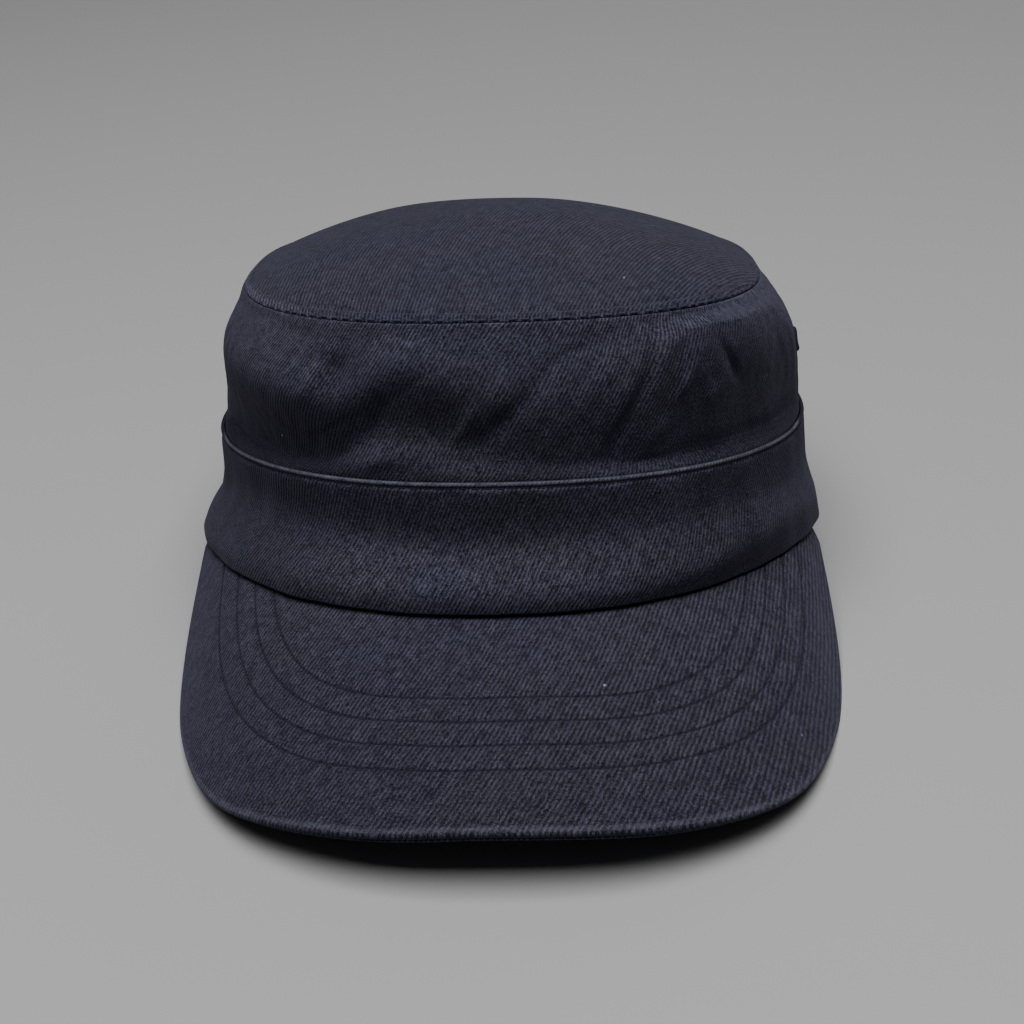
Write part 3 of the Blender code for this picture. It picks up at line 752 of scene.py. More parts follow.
    def peak_rim(self, inset):
        """Plan line of the peak's free edge, set in by a length: half a superellipse, widened.

        It flares between its corners and the front, is a little wider and longer at +X, and its
        front corners bulge.
        """
        size = self.sizes
        corner = along_ring(self.hem, np.array([size.peak_corner]))[0]
        half_width = corner[0] + size.hem_spread
        sweep = np.linspace(-math.pi / 2.0, math.pi / 2.0, 2 * OUTLINE_POINTS * PEAK_COLUMNS)
        ahead = powered(np.cos(sweep), size.peak_square)
        flare = size.peak_flare * 4.0 * ahead * (1.0 - ahead)
        x = powered(np.sin(sweep), size.peak_square) * (half_width + flare - inset)
        x = x + size.corner_aside * smooth_step(0.7, 1.0, np.sin(sweep)) * (1.0 - ahead) ** 2
        y = corner[1] - (size.hem_half_length + size.peak_length + corner[1] - inset) * ahead
        bulge = size.front_corner * np.exp(-(((ahead - 0.78) / 0.16) ** 2))
        x = x + bulge * np.sign(sweep)
        y = y - bulge - size.front_skew * np.sin(sweep) * ahead
        return np.stack([x, y], axis=-1)

    def peak(self, inset, rows):
        """Upper face of the peak: straight plan lines from the hem's arc to the free edge."""
        size = self.sizes
        turn = np.linspace(-size.peak_corner, size.peak_corner, OUTLINE_POINTS * PEAK_COLUMNS)
        inward = (size.peak_tuck - self.hem_spread(turn))[:, None]
        arc = along_ring(self.hem, turn) - outward(self.hem, turn) * inward
        rim = evenly(self.peak_rim(inset), RIM_TRIM)
        root = evenly(arc[:, :2], ROOT_TRIM)
        plan = root + (rim - root) * rows[:, None, None]
        height = self.peak_height(plan[..., 0], plan[..., 1])
        return np.concatenate([plan, height[..., None]], axis=-1)[:, ::-1]


def unit(vectors):
    """Vectors scaled to a length of 1."""
    return vectors / np.linalg.norm(vectors, axis=-1, keepdims=True)


def face_normals(face, closed):
    """Unit normals of a grid of points: the cross product of its slopes both ways.

    A closed grid's columns run on round.
    """
    if closed:
        across = np.roll(face, -1, axis=1) - np.roll(face, 1, axis=1)
    else:
        across = np.gradient(face, axis=1)
    return unit(np.cross(across, np.gradient(face, axis=0)))


def edge_round(centre, normal, beyond, radius, start, end):
    """Rows of a half circle round an edge: centre + radius (normal cos a + beyond sin a)."""
    sweep = np.linspace(start, end, EDGE_STEPS + 2)[1:-1]
    cos, sin = np.cos(sweep)[:, None, None], np.sin(sweep)[:, None, None]
    return centre + radius * (normal * cos + beyond * sin)


def rolled(face, wall, closed, capped=False):
    """Rows round a cloth of the given thickness, each row's place in the face and how far on it is.

    The loop is the face, a half circle over its last row, the far side back and a half circle
    over its first row. A capped cloth instead starts at the middle of its far side and ends at
    the middle of its face. How far on is 0 in the face, runs from 0 to 1 round an edge and is 1
    on the far side. The thickness is a number, or an array that fits rows by columns by 1.
    """
    normal = face_normals(face, closed)
    wall = np.broadcast_to(wall, face.shape[:2] + (1,))
    back = face - normal * wall
    place = np.arange(len(face), dtype=float)
    keep = np.unique(np.r_[0 : len(face) : BACK_STRIDE, len(face) - 1])[::-1]
    onward = np.linspace(0.0, 1.0, EDGE_STEPS + 2)[1:-1]
    middle = (face[0] + back[0]) / 2.0
    beyond = unit(face[0] - face[1])
    first = edge_round(middle, normal[0], beyond, wall[0] / 2.0, math.pi, 0.0)
    if capped:
        pole = np.broadcast_to(face[-1:].mean(axis=1, keepdims=True), face[-1:].shape)
        under = np.broadcast_to(back[-1:].mean(axis=1, keepdims=True), face[-1:].shape)
        rows = [under, back[keep], first, face, pole]
        places = [[place[-1]], place[keep], 0.0 * onward, place, [place[-1]]]
        on = [[1.0], 0.0 * keep + 1.0, onward[::-1], 0.0 * place, [0.0]]
    else:
        middle = (face[-1] + back[-1]) / 2.0
        beyond = unit(face[-1] - face[-2])
        last = edge_round(middle, normal[-1], beyond, wall[-1] / 2.0, 0.0, math.pi)
        rows = [face, last, back[keep], first]
        places = [place, 0.0 * onward + place[-1], place[keep], 0.0 * onward]
        on = [0.0 * place, onward, 0.0 * keep + 1.0, onward[::-1]]
    return np.concatenate(rows), np.concatenate(places), np.concatenate(on)


def merge_poles(mesh):
    """Merge the points that lie on each other, such as those of a closed end."""
    shape = bmesh.new()
    shape.from_mesh(mesh)
    bmesh.ops.remove_doubles(shape, verts=shape.verts, dist=MERGE)
    shape.to_mesh(mesh)
    shape.free()


def grid_mesh(name, points, wrap_rows, wrap_columns, cloth=None, values=None):
    """Mesh on grids of points: rows by columns by 3, or a stack of such grids.

    cloth holds UV places in metres, with a further row or column where the grid wraps. values
    holds a number for each point under each attribute's name.
    """
    stack = points.reshape((-1,) + points.shape[-3:])
    grids, rows, columns = stack.shape[:3]
    i, j = np.meshgrid(
        np.arange(rows if wrap_rows else rows - 1),
        np.arange(columns if wrap_columns else columns - 1),
        indexing="ij",
    )
    corners = np.stack([[i, j], [i, j + 1], [i + 1, j + 1], [i + 1, j]])
    ids = corners[:, 0] % rows * columns + corners[:, 1] % columns
    faces = ids.reshape(4, -1).T
    faces = (faces[None] + (np.arange(grids) * rows * columns)[:, None, None]).reshape(-1, 4)
    mesh = bpy.data.meshes.new(name)
    mesh.vertices.add(grids * rows * columns)
    mesh.vertices.foreach_set("co", stack.astype(np.float32).ravel())
    mesh.loops.add(faces.size)
    mesh.loops.foreach_set("vertex_index", faces.astype(np.int32).ravel())
    mesh.polygons.add(len(faces))
    mesh.polygons.foreach_set("loop_start", np.arange(0, faces.size, 4, dtype=np.int32))
    mesh.update(calc_edges=True)
    if cloth is not None:
        layer = mesh.uv_layers.new(name="cloth")
        places = cloth[corners[:, 0], corners[:, 1]].reshape(4, -1, 2).transpose(1, 0, 2)
        layer.data.foreach_set("uv", places.astype(np.float32).ravel())
    for key, numbers in (values or {}).items():
        attribute = mesh.attributes.new(key, "FLOAT", "POINT")
        numbers = np.ascontiguousarray(numbers, dtype=np.float32)
        attribute.data.foreach_set("value", numbers.ravel())
    merge_poles(mesh)
    mesh.shade_smooth()
    return mesh


def add_piece(name, mesh, material, nodes=()):
    """Piece of the cap at the origin, riding on its body in place of the CAD nodes given."""
    old = bpy.data.objects.get(name)
    if old:
        bpy.data.objects.remove(old, do_unlink=True)
    piece = bpy.data.objects.new(name, mesh)
    bpy.context.scene.collection.objects.link(piece)
    mesh.materials.append(material)
    if nodes:
        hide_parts(*nodes)
    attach(piece, BODY)
    return piece


def add_stitches(name, tubes, material):
    """Piece made of the tubes of its stitches."""
    add_piece(name, grid_mesh(name, tubes, False, True), material)


def threads(cap, centres, normals, radius):
    """Stitches: a tube along each short line of points, drawn in to nothing at its ends.

    The tube's radius goes with the root of 1 - place to the power 4, with places from -1 to 1.
    """
    tangent = unit(np.gradient(centres, axis=1))
    side = unit(np.cross(normals, tangent))
    taper = np.sqrt(np.clip(1.0 - STITCH_LINE**4, 0.0, 1.0))
    around = np.linspace(0.0, 2.0 * math.pi, THREAD_SIDES, endpoint=False)
    size = radius * taper[None, :, None, None]
    cos = np.cos(around)[None, None, :, None]
    sin = np.sin(around)[None, None, :, None]
    tube = centres[:, :, None] + size * (side[:, :, None] * cos + normals[:, :, None] * sin)
    return cap.at_rest(tube)


def laid_threads(cap, centres, normals, radius):
    """Stitches whose middles lie on a face and whose ends sink in with the place squared."""
    sink = STITCH_LINE[:, None] ** 2
    return threads(cap, centres + normals * (radius * (0.3 - 1.1 * sink)), normals, radius)


def stitch_places(run, pitch, long, seed):
    """Places along a line of the given length: a row of them for each stitch, a little uneven."""
    draw = np.random.default_rng(seed)
    count = int(run / pitch)
    middle = (np.arange(count) + 0.5) * run / count
    middle += draw.normal(0.0, 0.05, count) * pitch
    half = long / 2.0 * (1.0 + draw.normal(0.0, 0.06, count))
    return middle[:, None] + half[:, None] * STITCH_LINE


class Value:
    """A socket that stands for a number in an expression, where each operator adds a Math node."""

    def __init__(self, shader, socket):
        self.shader = shader
        self.socket = socket

    def maths(self, operation, *values):
        """Math node on the values given."""
        sockets = dict(enumerate(values))
        return self.shader.take("ShaderNodeMath", 0, {"operation": operation}, sockets)

    def __add__(self, other):
        return self.maths("ADD", self, other)

    def __radd__(self, other):
        return self.maths("ADD", other, self)

    def __sub__(self, other):
        return self.maths("SUBTRACT", self, other)

    def __rsub__(self, other):
        return self.maths("SUBTRACT", other, self)

    def __mul__(self, other):
        return self.maths("MULTIPLY", self, other)

    def __rmul__(self, other):
        return self.maths("MULTIPLY", other, self)

    def floor(self):
        """Next whole number below."""
        return self.maths("FLOOR", self)

    def wave(self):
        """Cosine wave from 0 to 1, one for each whole number."""
        return self.maths("COSINE", self * (2.0 * math.pi)) * 0.5 + 0.5

    def clamp(self, low, high):
        """Value kept between two numbers."""
        return self.maths("MINIMUM", self.maths("MAXIMUM", self, low), high)

    def size(self):
        """Value without its sign."""
        return self.maths("ABSOLUTE", self)

    def rise(self, low, high):
        """0 below low, 1 above high and a smooth rise between them."""
        sockets = {"Value": self, "From Min": low, "From Max": high}
        settings = {"interpolation_type": "SMOOTHSTEP"}
        return self.shader.take("ShaderNodeMapRange", 0, settings, sockets)


class Shader:
    """A material's node tree with its Principled shader, set up for matte cloth or thread."""

    def __init__(self, name, roughness, sheen):
        old = bpy.data.materials.get(name)
        if old:
            bpy.data.materials.remove(old)
        self.material = bpy.data.materials.new(name)
        self.material.use_nodes = True
        self.tree = self.material.node_tree
        self.surface = self.tree.nodes["Principled BSDF"]
        sockets = {
            "Roughness": roughness,
            "Sheen Weight": sheen,
            "Sheen Roughness": SHEEN_ROUGHNESS,
            "Sheen Tint": SHEEN_TINT,
            "Specular IOR Level": GLOSS,
            "Specular Tint": SHEEN_TINT,
        }
        for socket, value in sockets.items():
            self.feed(self.surface.inputs[socket], value)

    def feed(self, socket, value):
        """Link or set a socket."""
        if isinstance(value, Value):
            self.tree.links.new(value.socket, socket)
        else:
            socket.default_value = value

    def node(self, kind, settings=None, sockets=None):
        """Node of a type, with its settings first and then the values or links of its sockets."""
        node = self.tree.nodes.new(kind)
        for key, value in (settings or {}).items():
            setattr(node, key, value)
        for key, value in (sockets or {}).items():
            self.feed(node.inputs[key], value)
        return node

    def take(self, kind, output, settings=None, sockets=None):
        """One output of a new node."""
        return Value(self, self.node(kind, settings, sockets).outputs[output])

    def bump(self, height, distance):
        """Bump the surface by a height of about 0 to 1, at a distance for a height of 1."""
        sockets = {"Height": height, "Distance": distance, "Strength": 1.0}
        self.feed(self.surface.inputs["Normal"], self.take("ShaderNodeBump", 0, None, sockets))

    def noise(self, place, scale, detail=2.0):
        """Noise of about 0 to 1 at a place, with its features 1 / scale metres wide."""
        sockets = {"Vector": place, "Scale": scale, "Detail": detail, "Roughness": 0.6}
        return self.take("ShaderNodeTexNoise", 0, None, sockets)

    def attribute(self, name):
        """Number kept on the mesh's points."""
        return self.take("ShaderNodeAttribute", "Fac", {"attribute_name": name})

    def mix(self, factor, first, second):
        """Colour between two colours."""
        settings = {"data_type": "RGBA"}
        return self.take("ShaderNodeMix", 2, settings, {0: factor, 6: first, 7: second})

    def tone(self, tint, strength):
        """Colour made lighter or darker by a number."""
        sockets = {0: tint, "Scale": strength}
        return self.take("ShaderNodeVectorMath", 0, {"operation": "SCALE"}, sockets)


def rgba(tint):
    """Colour with an alpha of 1."""
    return (*tint, 1.0)


def weave_lines(shader, cloth, slant, pitch):
    """Twill's wales and the yarn's floats on them: two cosine waves at right angles on the slant.

    The lines wander by a noise, and each wale starts its floats at another place. Returned are
    the weave's height, the streaks of dye along each wale and each float's own shade, 0 to 1.
    """
    parts = shader.node("ShaderNodeSeparateXYZ", None, {0: cloth})
    u, v = Value(shader, parts.outputs[0]), Value(shader, parts.outputs[1])
    cos, sin = math.cos(slant), math.sin(slant)
    wander = (shader.noise(cloth, WANDER_SCALE) - 0.5) * 0.8
    wale = (v * cos - u * sin) * (1.0 / pitch) + wander
    number = wale.floor()
    run = (u * cos + v * sin) * (1.0 / (1.15 * pitch)) + number * 0.382
    weave = wale.wave() * (run.wave() * 0.25 + 0.75)
    lane = shader.take("ShaderNodeCombineXYZ", 0, None, {0: number * 5.7, 1: run * 0.55})
    streak = shader.noise(lane, 1.0).rise(0.25, 0.75)
    cell = shader.take("ShaderNodeCombineXYZ", 0, None, {0: number, 1: run.floor()})
    flat = {"noise_dimensions": "2D"}
    yarn = shader.take("ShaderNodeTexWhiteNoise", 0, flat, {"Vector": cell})
    return weave, streak, yarn


def sewn_lines(shader):
    """Share of a stitch row at a point: 1 on a whole number of the attribute stitch_row."""
    row = shader.attribute("stitch_row")
    near = (row - (row + 0.5).floor()).size()
    last = STITCH_ROWS - 1.0
    inside = row.rise(-0.5, -0.45) * (1.0 - row.rise(last + 0.45, last + 0.5))
    return (1.0 - near.rise(0.015, 0.085)) * inside


def lint_specks(shader, cloth):
    """Share of lint at a point: small dots in the middles of some cells."""
    sockets = {"Vector": cloth, "Scale": LINT_SCALE}
    speck = shader.node("ShaderNodeTexVoronoi", {"feature": "F1"}, sockets)
    shade = Value(shader, speck.outputs["Color"])
    chance = shader.take("ShaderNodeSeparateXYZ", 0, None, {0: shade})
    spot = Value(shader, speck.outputs["Distance"])
    return (1.0 - spot.rise(0.016, 0.038)) * chance.rise(0.64, 0.74)


def twill(name, scene, slant, pitch, first, second, rubbed_and_lit=None, rows=False):
    """Washed twill: diagonal wales in broken lines, patchy dye, lint, pale and dark edges and sewn
    rows.

    Its colour goes from first to second in patches, and the attribute of painted light and shade
    makes it paler above 0 and darker and more speckled below. The pale-line argument is the place,
    half width and strength of a pale line, as distances by the attribute edge, partly wear and
    partly a painted highlight, and past the edge the cloth is painted darker, a painted shade. rows
    says that the cloth has stitch rows, painted darker along their grooves as painted shade.
    """
    colours = scene.cap_colours
    shader = Shader(name, roughness=0.9, sheen=0.06)
    cloth = shader.take("ShaderNodeUVMap", 0, {"uv_map": "cloth"})
    solid = shader.take("ShaderNodeTexCoord", "Object")
    weave, streak, yarn = weave_lines(shader, cloth, slant, pitch)
    mottle = shader.noise(cloth, MOTTLE_SCALE, 3.0) - 0.5
    fuzz = shader.noise(cloth, FUZZ_SCALE)
    grain = shader.noise(cloth, GRAIN_SCALE, 1.0) - 0.5
    lit = weave * (0.45 + streak * 1.3) + 0.25 + (yarn - 0.5) * 0.5 + mottle * 0.8
    fibres = (fuzz - 0.5) * 2.8 + grain * 4.4
    # Painted light and shade: the attribute makes the cloth paler above 0, darker and more speckled
    # below
    wear = shader.attribute("wear")
    speckled = (0.0 - wear).clamp(0.0, 1.0) * 0.9
    tone = (lit + fibres * (1.0 + speckled)).clamp(0.1, 4.5)
    tone = tone * (1.0 + wear * PAINTED_LIGHT).clamp(*PAINTED_LIGHT_LIMITS)
    height = weave * 1.2 + (fuzz - 0.5) * 1.1 + (streak - 0.5) * 0.7 + grain * 0.8
    if rows:
        sewn = sewn_lines(shader)
        # Stitch rows painted darker: painted shade in their grooves
        tone = tone * (1.0 - sewn * 0.68)
        height = height - sewn * 0.9
    if rubbed_and_lit:
        edge = shader.attribute("edge")
        # Past the edge the cloth is painted darker: painted shade on the edge's side and underside
        tone = tone * (edge.rise(-1.6 * MM, -0.6 * MM) * 0.6 + 0.4)
    patch = shader.noise(solid, PATCH_SCALE, 3.0).rise(0.38, 0.62)
    tint = shader.tone(shader.mix(patch, rgba(first), rgba(second)), tone)
    if rubbed_and_lit:
        # Pale line along the edge: partly wear, partly a painted highlight
        place, width, strength = rubbed_and_lit
        away = ((edge - place) * (1.0 / width)).size()
        rub_and_light = (1.0 - away.rise(0.25, 1.0)) * (weave * 0.2 + fuzz * 1.6 + mottle * 2.0)
        tint = shader.mix((rub_and_light * strength).clamp(0.0, 1.0), tint, rgba(colours.lit_and_worn))
    tint = shader.mix(lint_specks(shader, cloth) * 0.8, tint, rgba(colours.lint))
    shader.feed(shader.surface.inputs["Base Color"], tint)
    shader.bump(height, scene.cap_sewing.weave_height)
    return shader.material


def thread_material(name, scene, pale=1.0):
    """Twisted thread, dark and nearly matte, mottled by fine strands and paler by a factor."""
    shader = Shader(name, roughness=0.85, sheen=0.03)
    solid = shader.take("ShaderNodeTexCoord", "Object")
    strands = shader.noise(solid, STRAND_SCALE)
    tint = shader.tone(tuple(scene.cap_colours.thread), (strands * 1.4 + 0.5) * pale)
    shader.feed(shader.surface.inputs["Base Color"], tint)
    shader.bump(strands, STRAND_HEIGHT)
    return shader.material


def wrapped(values):
    """Numbers along a ring's columns without the last one, which closes it."""
    return values[..., :-1]


def fanned(points, middle, radius):
    """UV places of plan points on cloth whose lines fan out: the way round and out from a centre.

    The centre lies a radius behind the middle, or ahead of it for a radius below 0.
    """
    far = middle + radius
    out = np.hypot(points[..., 0], points[..., 1] - far)
    around = np.arctan2(points[..., 0], np.abs(points[..., 1] - far))
    onward = math.copysign(1.0, radius) * (abs(radius) - out)
    return np.stack([abs(radius) * around, onward], axis=-1)


def ring_cloth(run, loop):
    """UV places of a ring's loop of rows: the run round it, and the mean distance over its rows."""
    steps = np.linalg.norm(np.roll(loop, -1, axis=0) - loop, axis=-1).mean(axis=1)
    v = np.concatenate([[0.0], np.cumsum(steps)])
    return np.stack(np.broadcast_arrays(run[None, :], v[:, None]), axis=-1)


def eyelet_spots(cap):
    """Middle of the wall's cloth at each eyelet, the way out of it and the two ways along it."""
    size = cap.sizes
    spots = {}
    up = np.array([size.eyelet_up])
    for name, turn in (("left", size.eyelet_left_turn), ("right", size.eyelet_right_turn)):
        at = np.array([turn])
        point = cap.wall(at, up)[0]
        level = cap.wall(at + NUDGE, up)[0] - cap.wall(at - NUDGE, up)[0]
        rise = cap.wall(at, up + NUDGE)[0] - cap.wall(at, up - NUDGE)[0]
        out = unit(np.cross(level, rise))
        side = unit(level)
        spots[name] = (point - out * size.wall_cloth / 2.0, out, side, np.cross(out, side))
    return spots


def cut_holes(piece, cap, radius):
    """Cut the eyelets' holes through the crown wall, and keep the result as its mesh."""
    cutter = bmesh.new()
    for spot, out, *_ in eyelet_spots(cap).values():
        place = cap.at_rest(spot)
        way = Vector(cap.at_rest(spot + out) - place)
        facing = way.to_track_quat("Z", "Y").to_matrix().to_4x4()
        bmesh.ops.create_cone(
            cutter,
            cap_ends=True,
            segments=HOLE_SIDES,
            radius1=radius,
            radius2=radius,
            depth=HOLE_LENGTH,
            matrix=Matrix.Translation(place) @ facing,
        )
    mesh = bpy.data.meshes.new("hole_cutter")
    cutter.to_mesh(mesh)
    cutter.free()
    tool = bpy.data.objects.new("hole_cutter", mesh)
    bpy.context.scene.collection.objects.link(tool)
    cut = piece.modifiers.new("holes", "BOOLEAN")
    cut.operation = "DIFFERENCE"
    cut.solver = "EXACT"
    cut.object = tool
    done = piece.evaluated_get(bpy.context.evaluated_depsgraph_get())
    result = bpy.data.meshes.new_from_object(done)
    piece.modifiers.clear()
    old = piece.data
    piece.data = result
    bpy.data.meshes.remove(old)
    bpy.data.objects.remove(tool, do_unlink=True)
    bpy.data.meshes.remove(mesh)


def wall_painted_light(cap, turn, ups, wall):
    """Painted light and shade of the crown wall, added to the painted light by which way it faces.

    Hollows and folds are painted darker, a painted shade, and the foot above the band most of all
    at the sides. On the wearer's right the wall is painted dark low down and pale high up, and on
    the
    left a little paler low down: painted shade and light. Just under the top seam the cloth is
    painted paler, a painted highlight where it curls up to the seam, and paler still at the seam's
    +X side.
    """
    aside = np.degrees(turn)
    hollow = np.clip(cap.wall_relief(turn, ups) / cap.sizes.fold_depth, 0.0, 1.6)
    foot = 1.0 - smooth_step(0.04, 0.25, ups)
    shaded = np.where(aside > 0.0, smooth_step(18.0, 42.0, aside), smooth_step(20.0, 45.0, -aside))
    lit_and_worn = faded_and_facing_light(wall, turn) - 0.25 * hollow - (0.6 + 1.5 * shaded) * foot
    lit_and_worn = lit_and_worn - 1.3 * cap.wall_folds(turn, ups)
    right = window(-88.0, -70.0, -36.0, -20.0, aside)
    lit_and_worn = lit_and_worn + right * (1.5 * smooth_step(0.43, 0.69, ups) - 1.05)
    left = window(22.0, 32.0, 62.0, 80.0, aside)
    lit_and_worn = lit_and_worn + 0.6 * left * (1.0 - smooth_step(0.35, 0.6, ups))
    lit_and_worn = lit_and_worn + 0.7 * smooth_step(0.86, 0.96, ups)
    return lit_and_worn + 1.4 * smooth_step(0.6, 0.85, np.sin(turn)) * smooth_step(0.985, 1.0, ups)


class CAP_OT_crown_wall(bpy.types.Operator):
    """Upright crown wall with its dents, creases and pulled top seam."""

    bl_idname = "cap.crown_wall"
    bl_label = "Crown Wall"

    def execute(self, context):
        cap = CapShape(context.scene)
        size = cap.sizes
        turns, run = even_turns(cap.folded)
        turn = wrapped(turns)[None, :]
        downs = np.linspace(size.wall_tuck, 0.0, TUCK_ROWS + 1)[:-1, None]
        # The rows lie closer together towards the seam
        ups = 1.0 - np.linspace(1.0, 0.0, WALL_ROWS)[:, None] ** 1.25
        ups = ups * (1.0 + size.wall_above / size.wall_front)
        wall = cap.wall(turn, ups)
        below_seam = (1.0 - ups) * size.wall_front
        pull = seam_pulls(turn, below_seam, cap.seam, cap.sewing)
        wall = wall - face_normals(wall, True) * pull[..., None]
        face = np.concatenate([cap.tuck(turn, downs), wall])
        loop, places, _ = rolled(face, size.wall_cloth, True)
        cloth = ring_cloth(run, loop)
        hidden = 0.0 * downs * turn
        # The wall's attribute holds its painted light and shade
        lit_and_worn = np.concatenate([hidden, wall_painted_light(cap, turn, ups, wall)])
        values = {"wear": lit_and_worn[places.astype(int)]}
        mesh = grid_mesh("crown_wall", cap.at_rest(loop), True, True, cloth, values)
        colours = context.scene.cap_colours
        weave = (cap.sewing.wall_slant, cap.sewing.wall_pitch)
        material = twill("crown_twill", context.scene, *weave, colours.navy, colours.faded_and_facing_light)
        piece = add_piece("crown_wall", mesh, material, ["crown_side"])
        cut_holes(piece, cap, size.eyelet_bore + HOLE_MARGIN)
        return {"FINISHED"}


class CAP_OT_top_panel(bpy.types.Operator):
    """Oval top panel: a low dome with a raised strip along its seam, and the seam's stitches."""

    bl_idname = "cap.top_panel"
    bl_label = "Top Panel"

    def execute(self, context):
        cap = CapShape(context.scene)
        size = cap.sizes
        turns, run = even_turns(cap.seam)
        turn = wrapped(turns)[None, :]
        edge = 1.0 - size.top_edge / 2.0 / cap.seam.half_width
        # The rows lie closer together at the edge, and the last stays just clear of the middle
        parts = edge * (1.0 - np.linspace(0.0, 1.0, TOP_ROWS)[:, None] ** 1.7 * 0.992)
        face = cap.top(turn, parts + 0.0 * turn)
        inwards = (1.0 - parts) * cap.seam.half_width
        pull = seam_pulls(turn, inwards, cap.seam, cap.sewing)
        face = face - face_normals(face, True) * pull[..., None]
        thick = smooth_step(0.0, size.top_thinning, inwards) * (size.top_cloth - size.top_edge)
        thick = (thick + size.top_edge)[..., None]
        loop, places, _ = rolled(face, thick, True, capped=True)
        closed = np.concatenate([loop, loop[:, :1]], axis=1)
        cloth = fanned(closed, cap.seam.shift, -cap.sewing.fan) * np.array([1.0, 1.04])
        # The edge is painted paler on the wearer's right, a painted highlight
        right = smooth_step(0.45, 0.8, -np.sin(turn)) * smooth_step(-0.6, -0.1, np.cos(turn))
        lit_and_worn = 2.0 * right * (1.0 - smooth_step(0.8 * MM, 2.2 * MM, inwards))
        values = {"wear": lit_and_worn[places.astype(int)]}
        mesh = grid_mesh("top_panel_dome", cap.at_rest(loop), False, True, cloth, values)
        colours = context.scene.cap_colours
        weave = (cap.sewing.top_slant, cap.sewing.top_pitch)
        material = twill("top_twill", context.scene, *weave, colours.navy, colours.faded_and_facing_light)
        add_piece("top_panel_dome", mesh, material, ["top_panel"])
        # The seam's thread is drawn twice as pale as the other thread: painted light that lifts it
        # out of the shade of the seam's groove
        material = thread_material("seam_thread", context.scene, 2.0)
        add_stitches("seam_stitching", self.seam_tubes(cap, turns, run, edge), material)
        return {"FINISHED"}

    def seam_tubes(self, cap, turns, run, edge):
        """Stitches round the top panel's edge, sunk at their ends and all sunk deeper aside."""
        sewing = cap.sewing
        places = stitch_places(run[-1], sewing.seam_pitch, sewing.stitch_length, SEAM_SEED)
        turn = np.interp(places, run, turns)
        centres = cap.top(turn, np.full_like(turn, edge))
        normals = unit(outward(cap.seam, turn) + np.array([0.0, 0.0, 0.35]))
        lift = np.array([0.0, 0.0, 0.12 * MM])
        sink = STITCH_LINE[:, None] ** 2
        ends = smooth_step(0.6, 0.85, abs(np.sin(turn)))[..., None]
        centres = centres + lift + normals * (0.20 - 0.5 * sink - 0.40 * ends) * MM
        return threads(cap, centres, normals, sewing.seam_thread)


class CAP_OT_band(bpy.types.Operator):
    """Deep folded band with a beaded upper edge, and the stitches under that edge."""

    bl_idname = "cap.band"
    bl_label = "Band"

    def execute(self, context):
        cap = CapShape(context.scene)
        size = cap.sizes
        turns, run = even_turns(cap.folded)
        turn = wrapped(turns)[None, :]
        top = size.band_edge / 2.0 / size.band_front
        bottom = 1.0 - (size.hem_edge / 2.0 + size.hem_lift) / size.band_front
        # The rows run up from the hem, closer together towards the folded edge
        downs = top + (bottom - top) * np.linspace(1.0, 0.0, BAND_ROWS)[:, None] ** 1.5
        face = cap.band(turn, downs)
        wall = size.band_edge + (size.band_cloth - size.band_edge) * smooth_step(0.02, 0.2, downs)
        wall = wall - (size.band_cloth - size.hem_edge) * smooth_step(0.88, 0.98, downs)
        loop, places, on = rolled(face, wall[..., None], True)
        cloth = ring_cloth(run, loop)
        below = np.interp(places, np.arange(BAND_ROWS), downs[:, 0] * size.band_front)
        below = below - size.band_edge / 2.0 - on * math.pi / 2.0 * size.band_edge
        # The pale line on the folded edge, partly wear and partly a painted highlight, is left off
        # at the sides
        pale_line_shift = 2.5 * MM * smooth_step(0.80, 0.99, np.sin(turn) ** 2)
        # Painted light and shade: paler where the cloth faces up and low on the band, darker at the
        # sides
        lit_and_worn = faded_and_facing_light(face, turn) + 0.35 * smooth_step(0.55, 0.8, downs)
        lit_and_worn = lit_and_worn + 0.4 - 0.8 * smooth_step(20.0, 45.0, abs(np.degrees(turn)))
        values = {"edge": below[:, None] + pale_line_shift, "wear": lit_and_worn[places.astype(int)]}
        mesh = grid_mesh("band_cloth", cap.at_rest(loop), True, True, cloth, values)
        colours = context.scene.cap_colours
        weave = (cap.sewing.band_slant, cap.sewing.wall_pitch)
        # Pale line on the folded edge: partly wear, partly a painted highlight where the fold
        # catches the light
        rubbed_and_lit = (-0.30 * MM, 0.85 * MM, 0.65)
        dyes = (colours.navy, colours.faded_and_facing_light)
        material = twill("band_twill", context.scene, *weave, *dyes, rubbed_and_lit=rubbed_and_lit)
        add_piece("band_cloth", mesh, material, ["band"])
        material = thread_material("band_thread", context.scene)
        add_stitches("band_stitching", self.edge_tubes(cap, turns, run), material)
        return {"FINISHED"}

    def edge_tubes(self, cap, turns, run):
        """Stitches laid round the band, in the ditch under its folded edge."""
        sewing = cap.sewing
        places = stitch_places(run[-1], sewing.stitch_pitch, sewing.stitch_length, BAND_SEED)
        turn = np.interp(places % run[-1], run, turns)
        down = np.full_like(turn, sewing.hem_stitch_down / cap.sizes.band_front)
        centres = cap.band(turn, down)
        level = cap.band(turn + NUDGE, down) - centres
        rise = cap.band(turn, down - NUDGE) - centres
        return laid_threads(cap, centres, unit(np.cross(level, rise)), sewing.thread_radius)


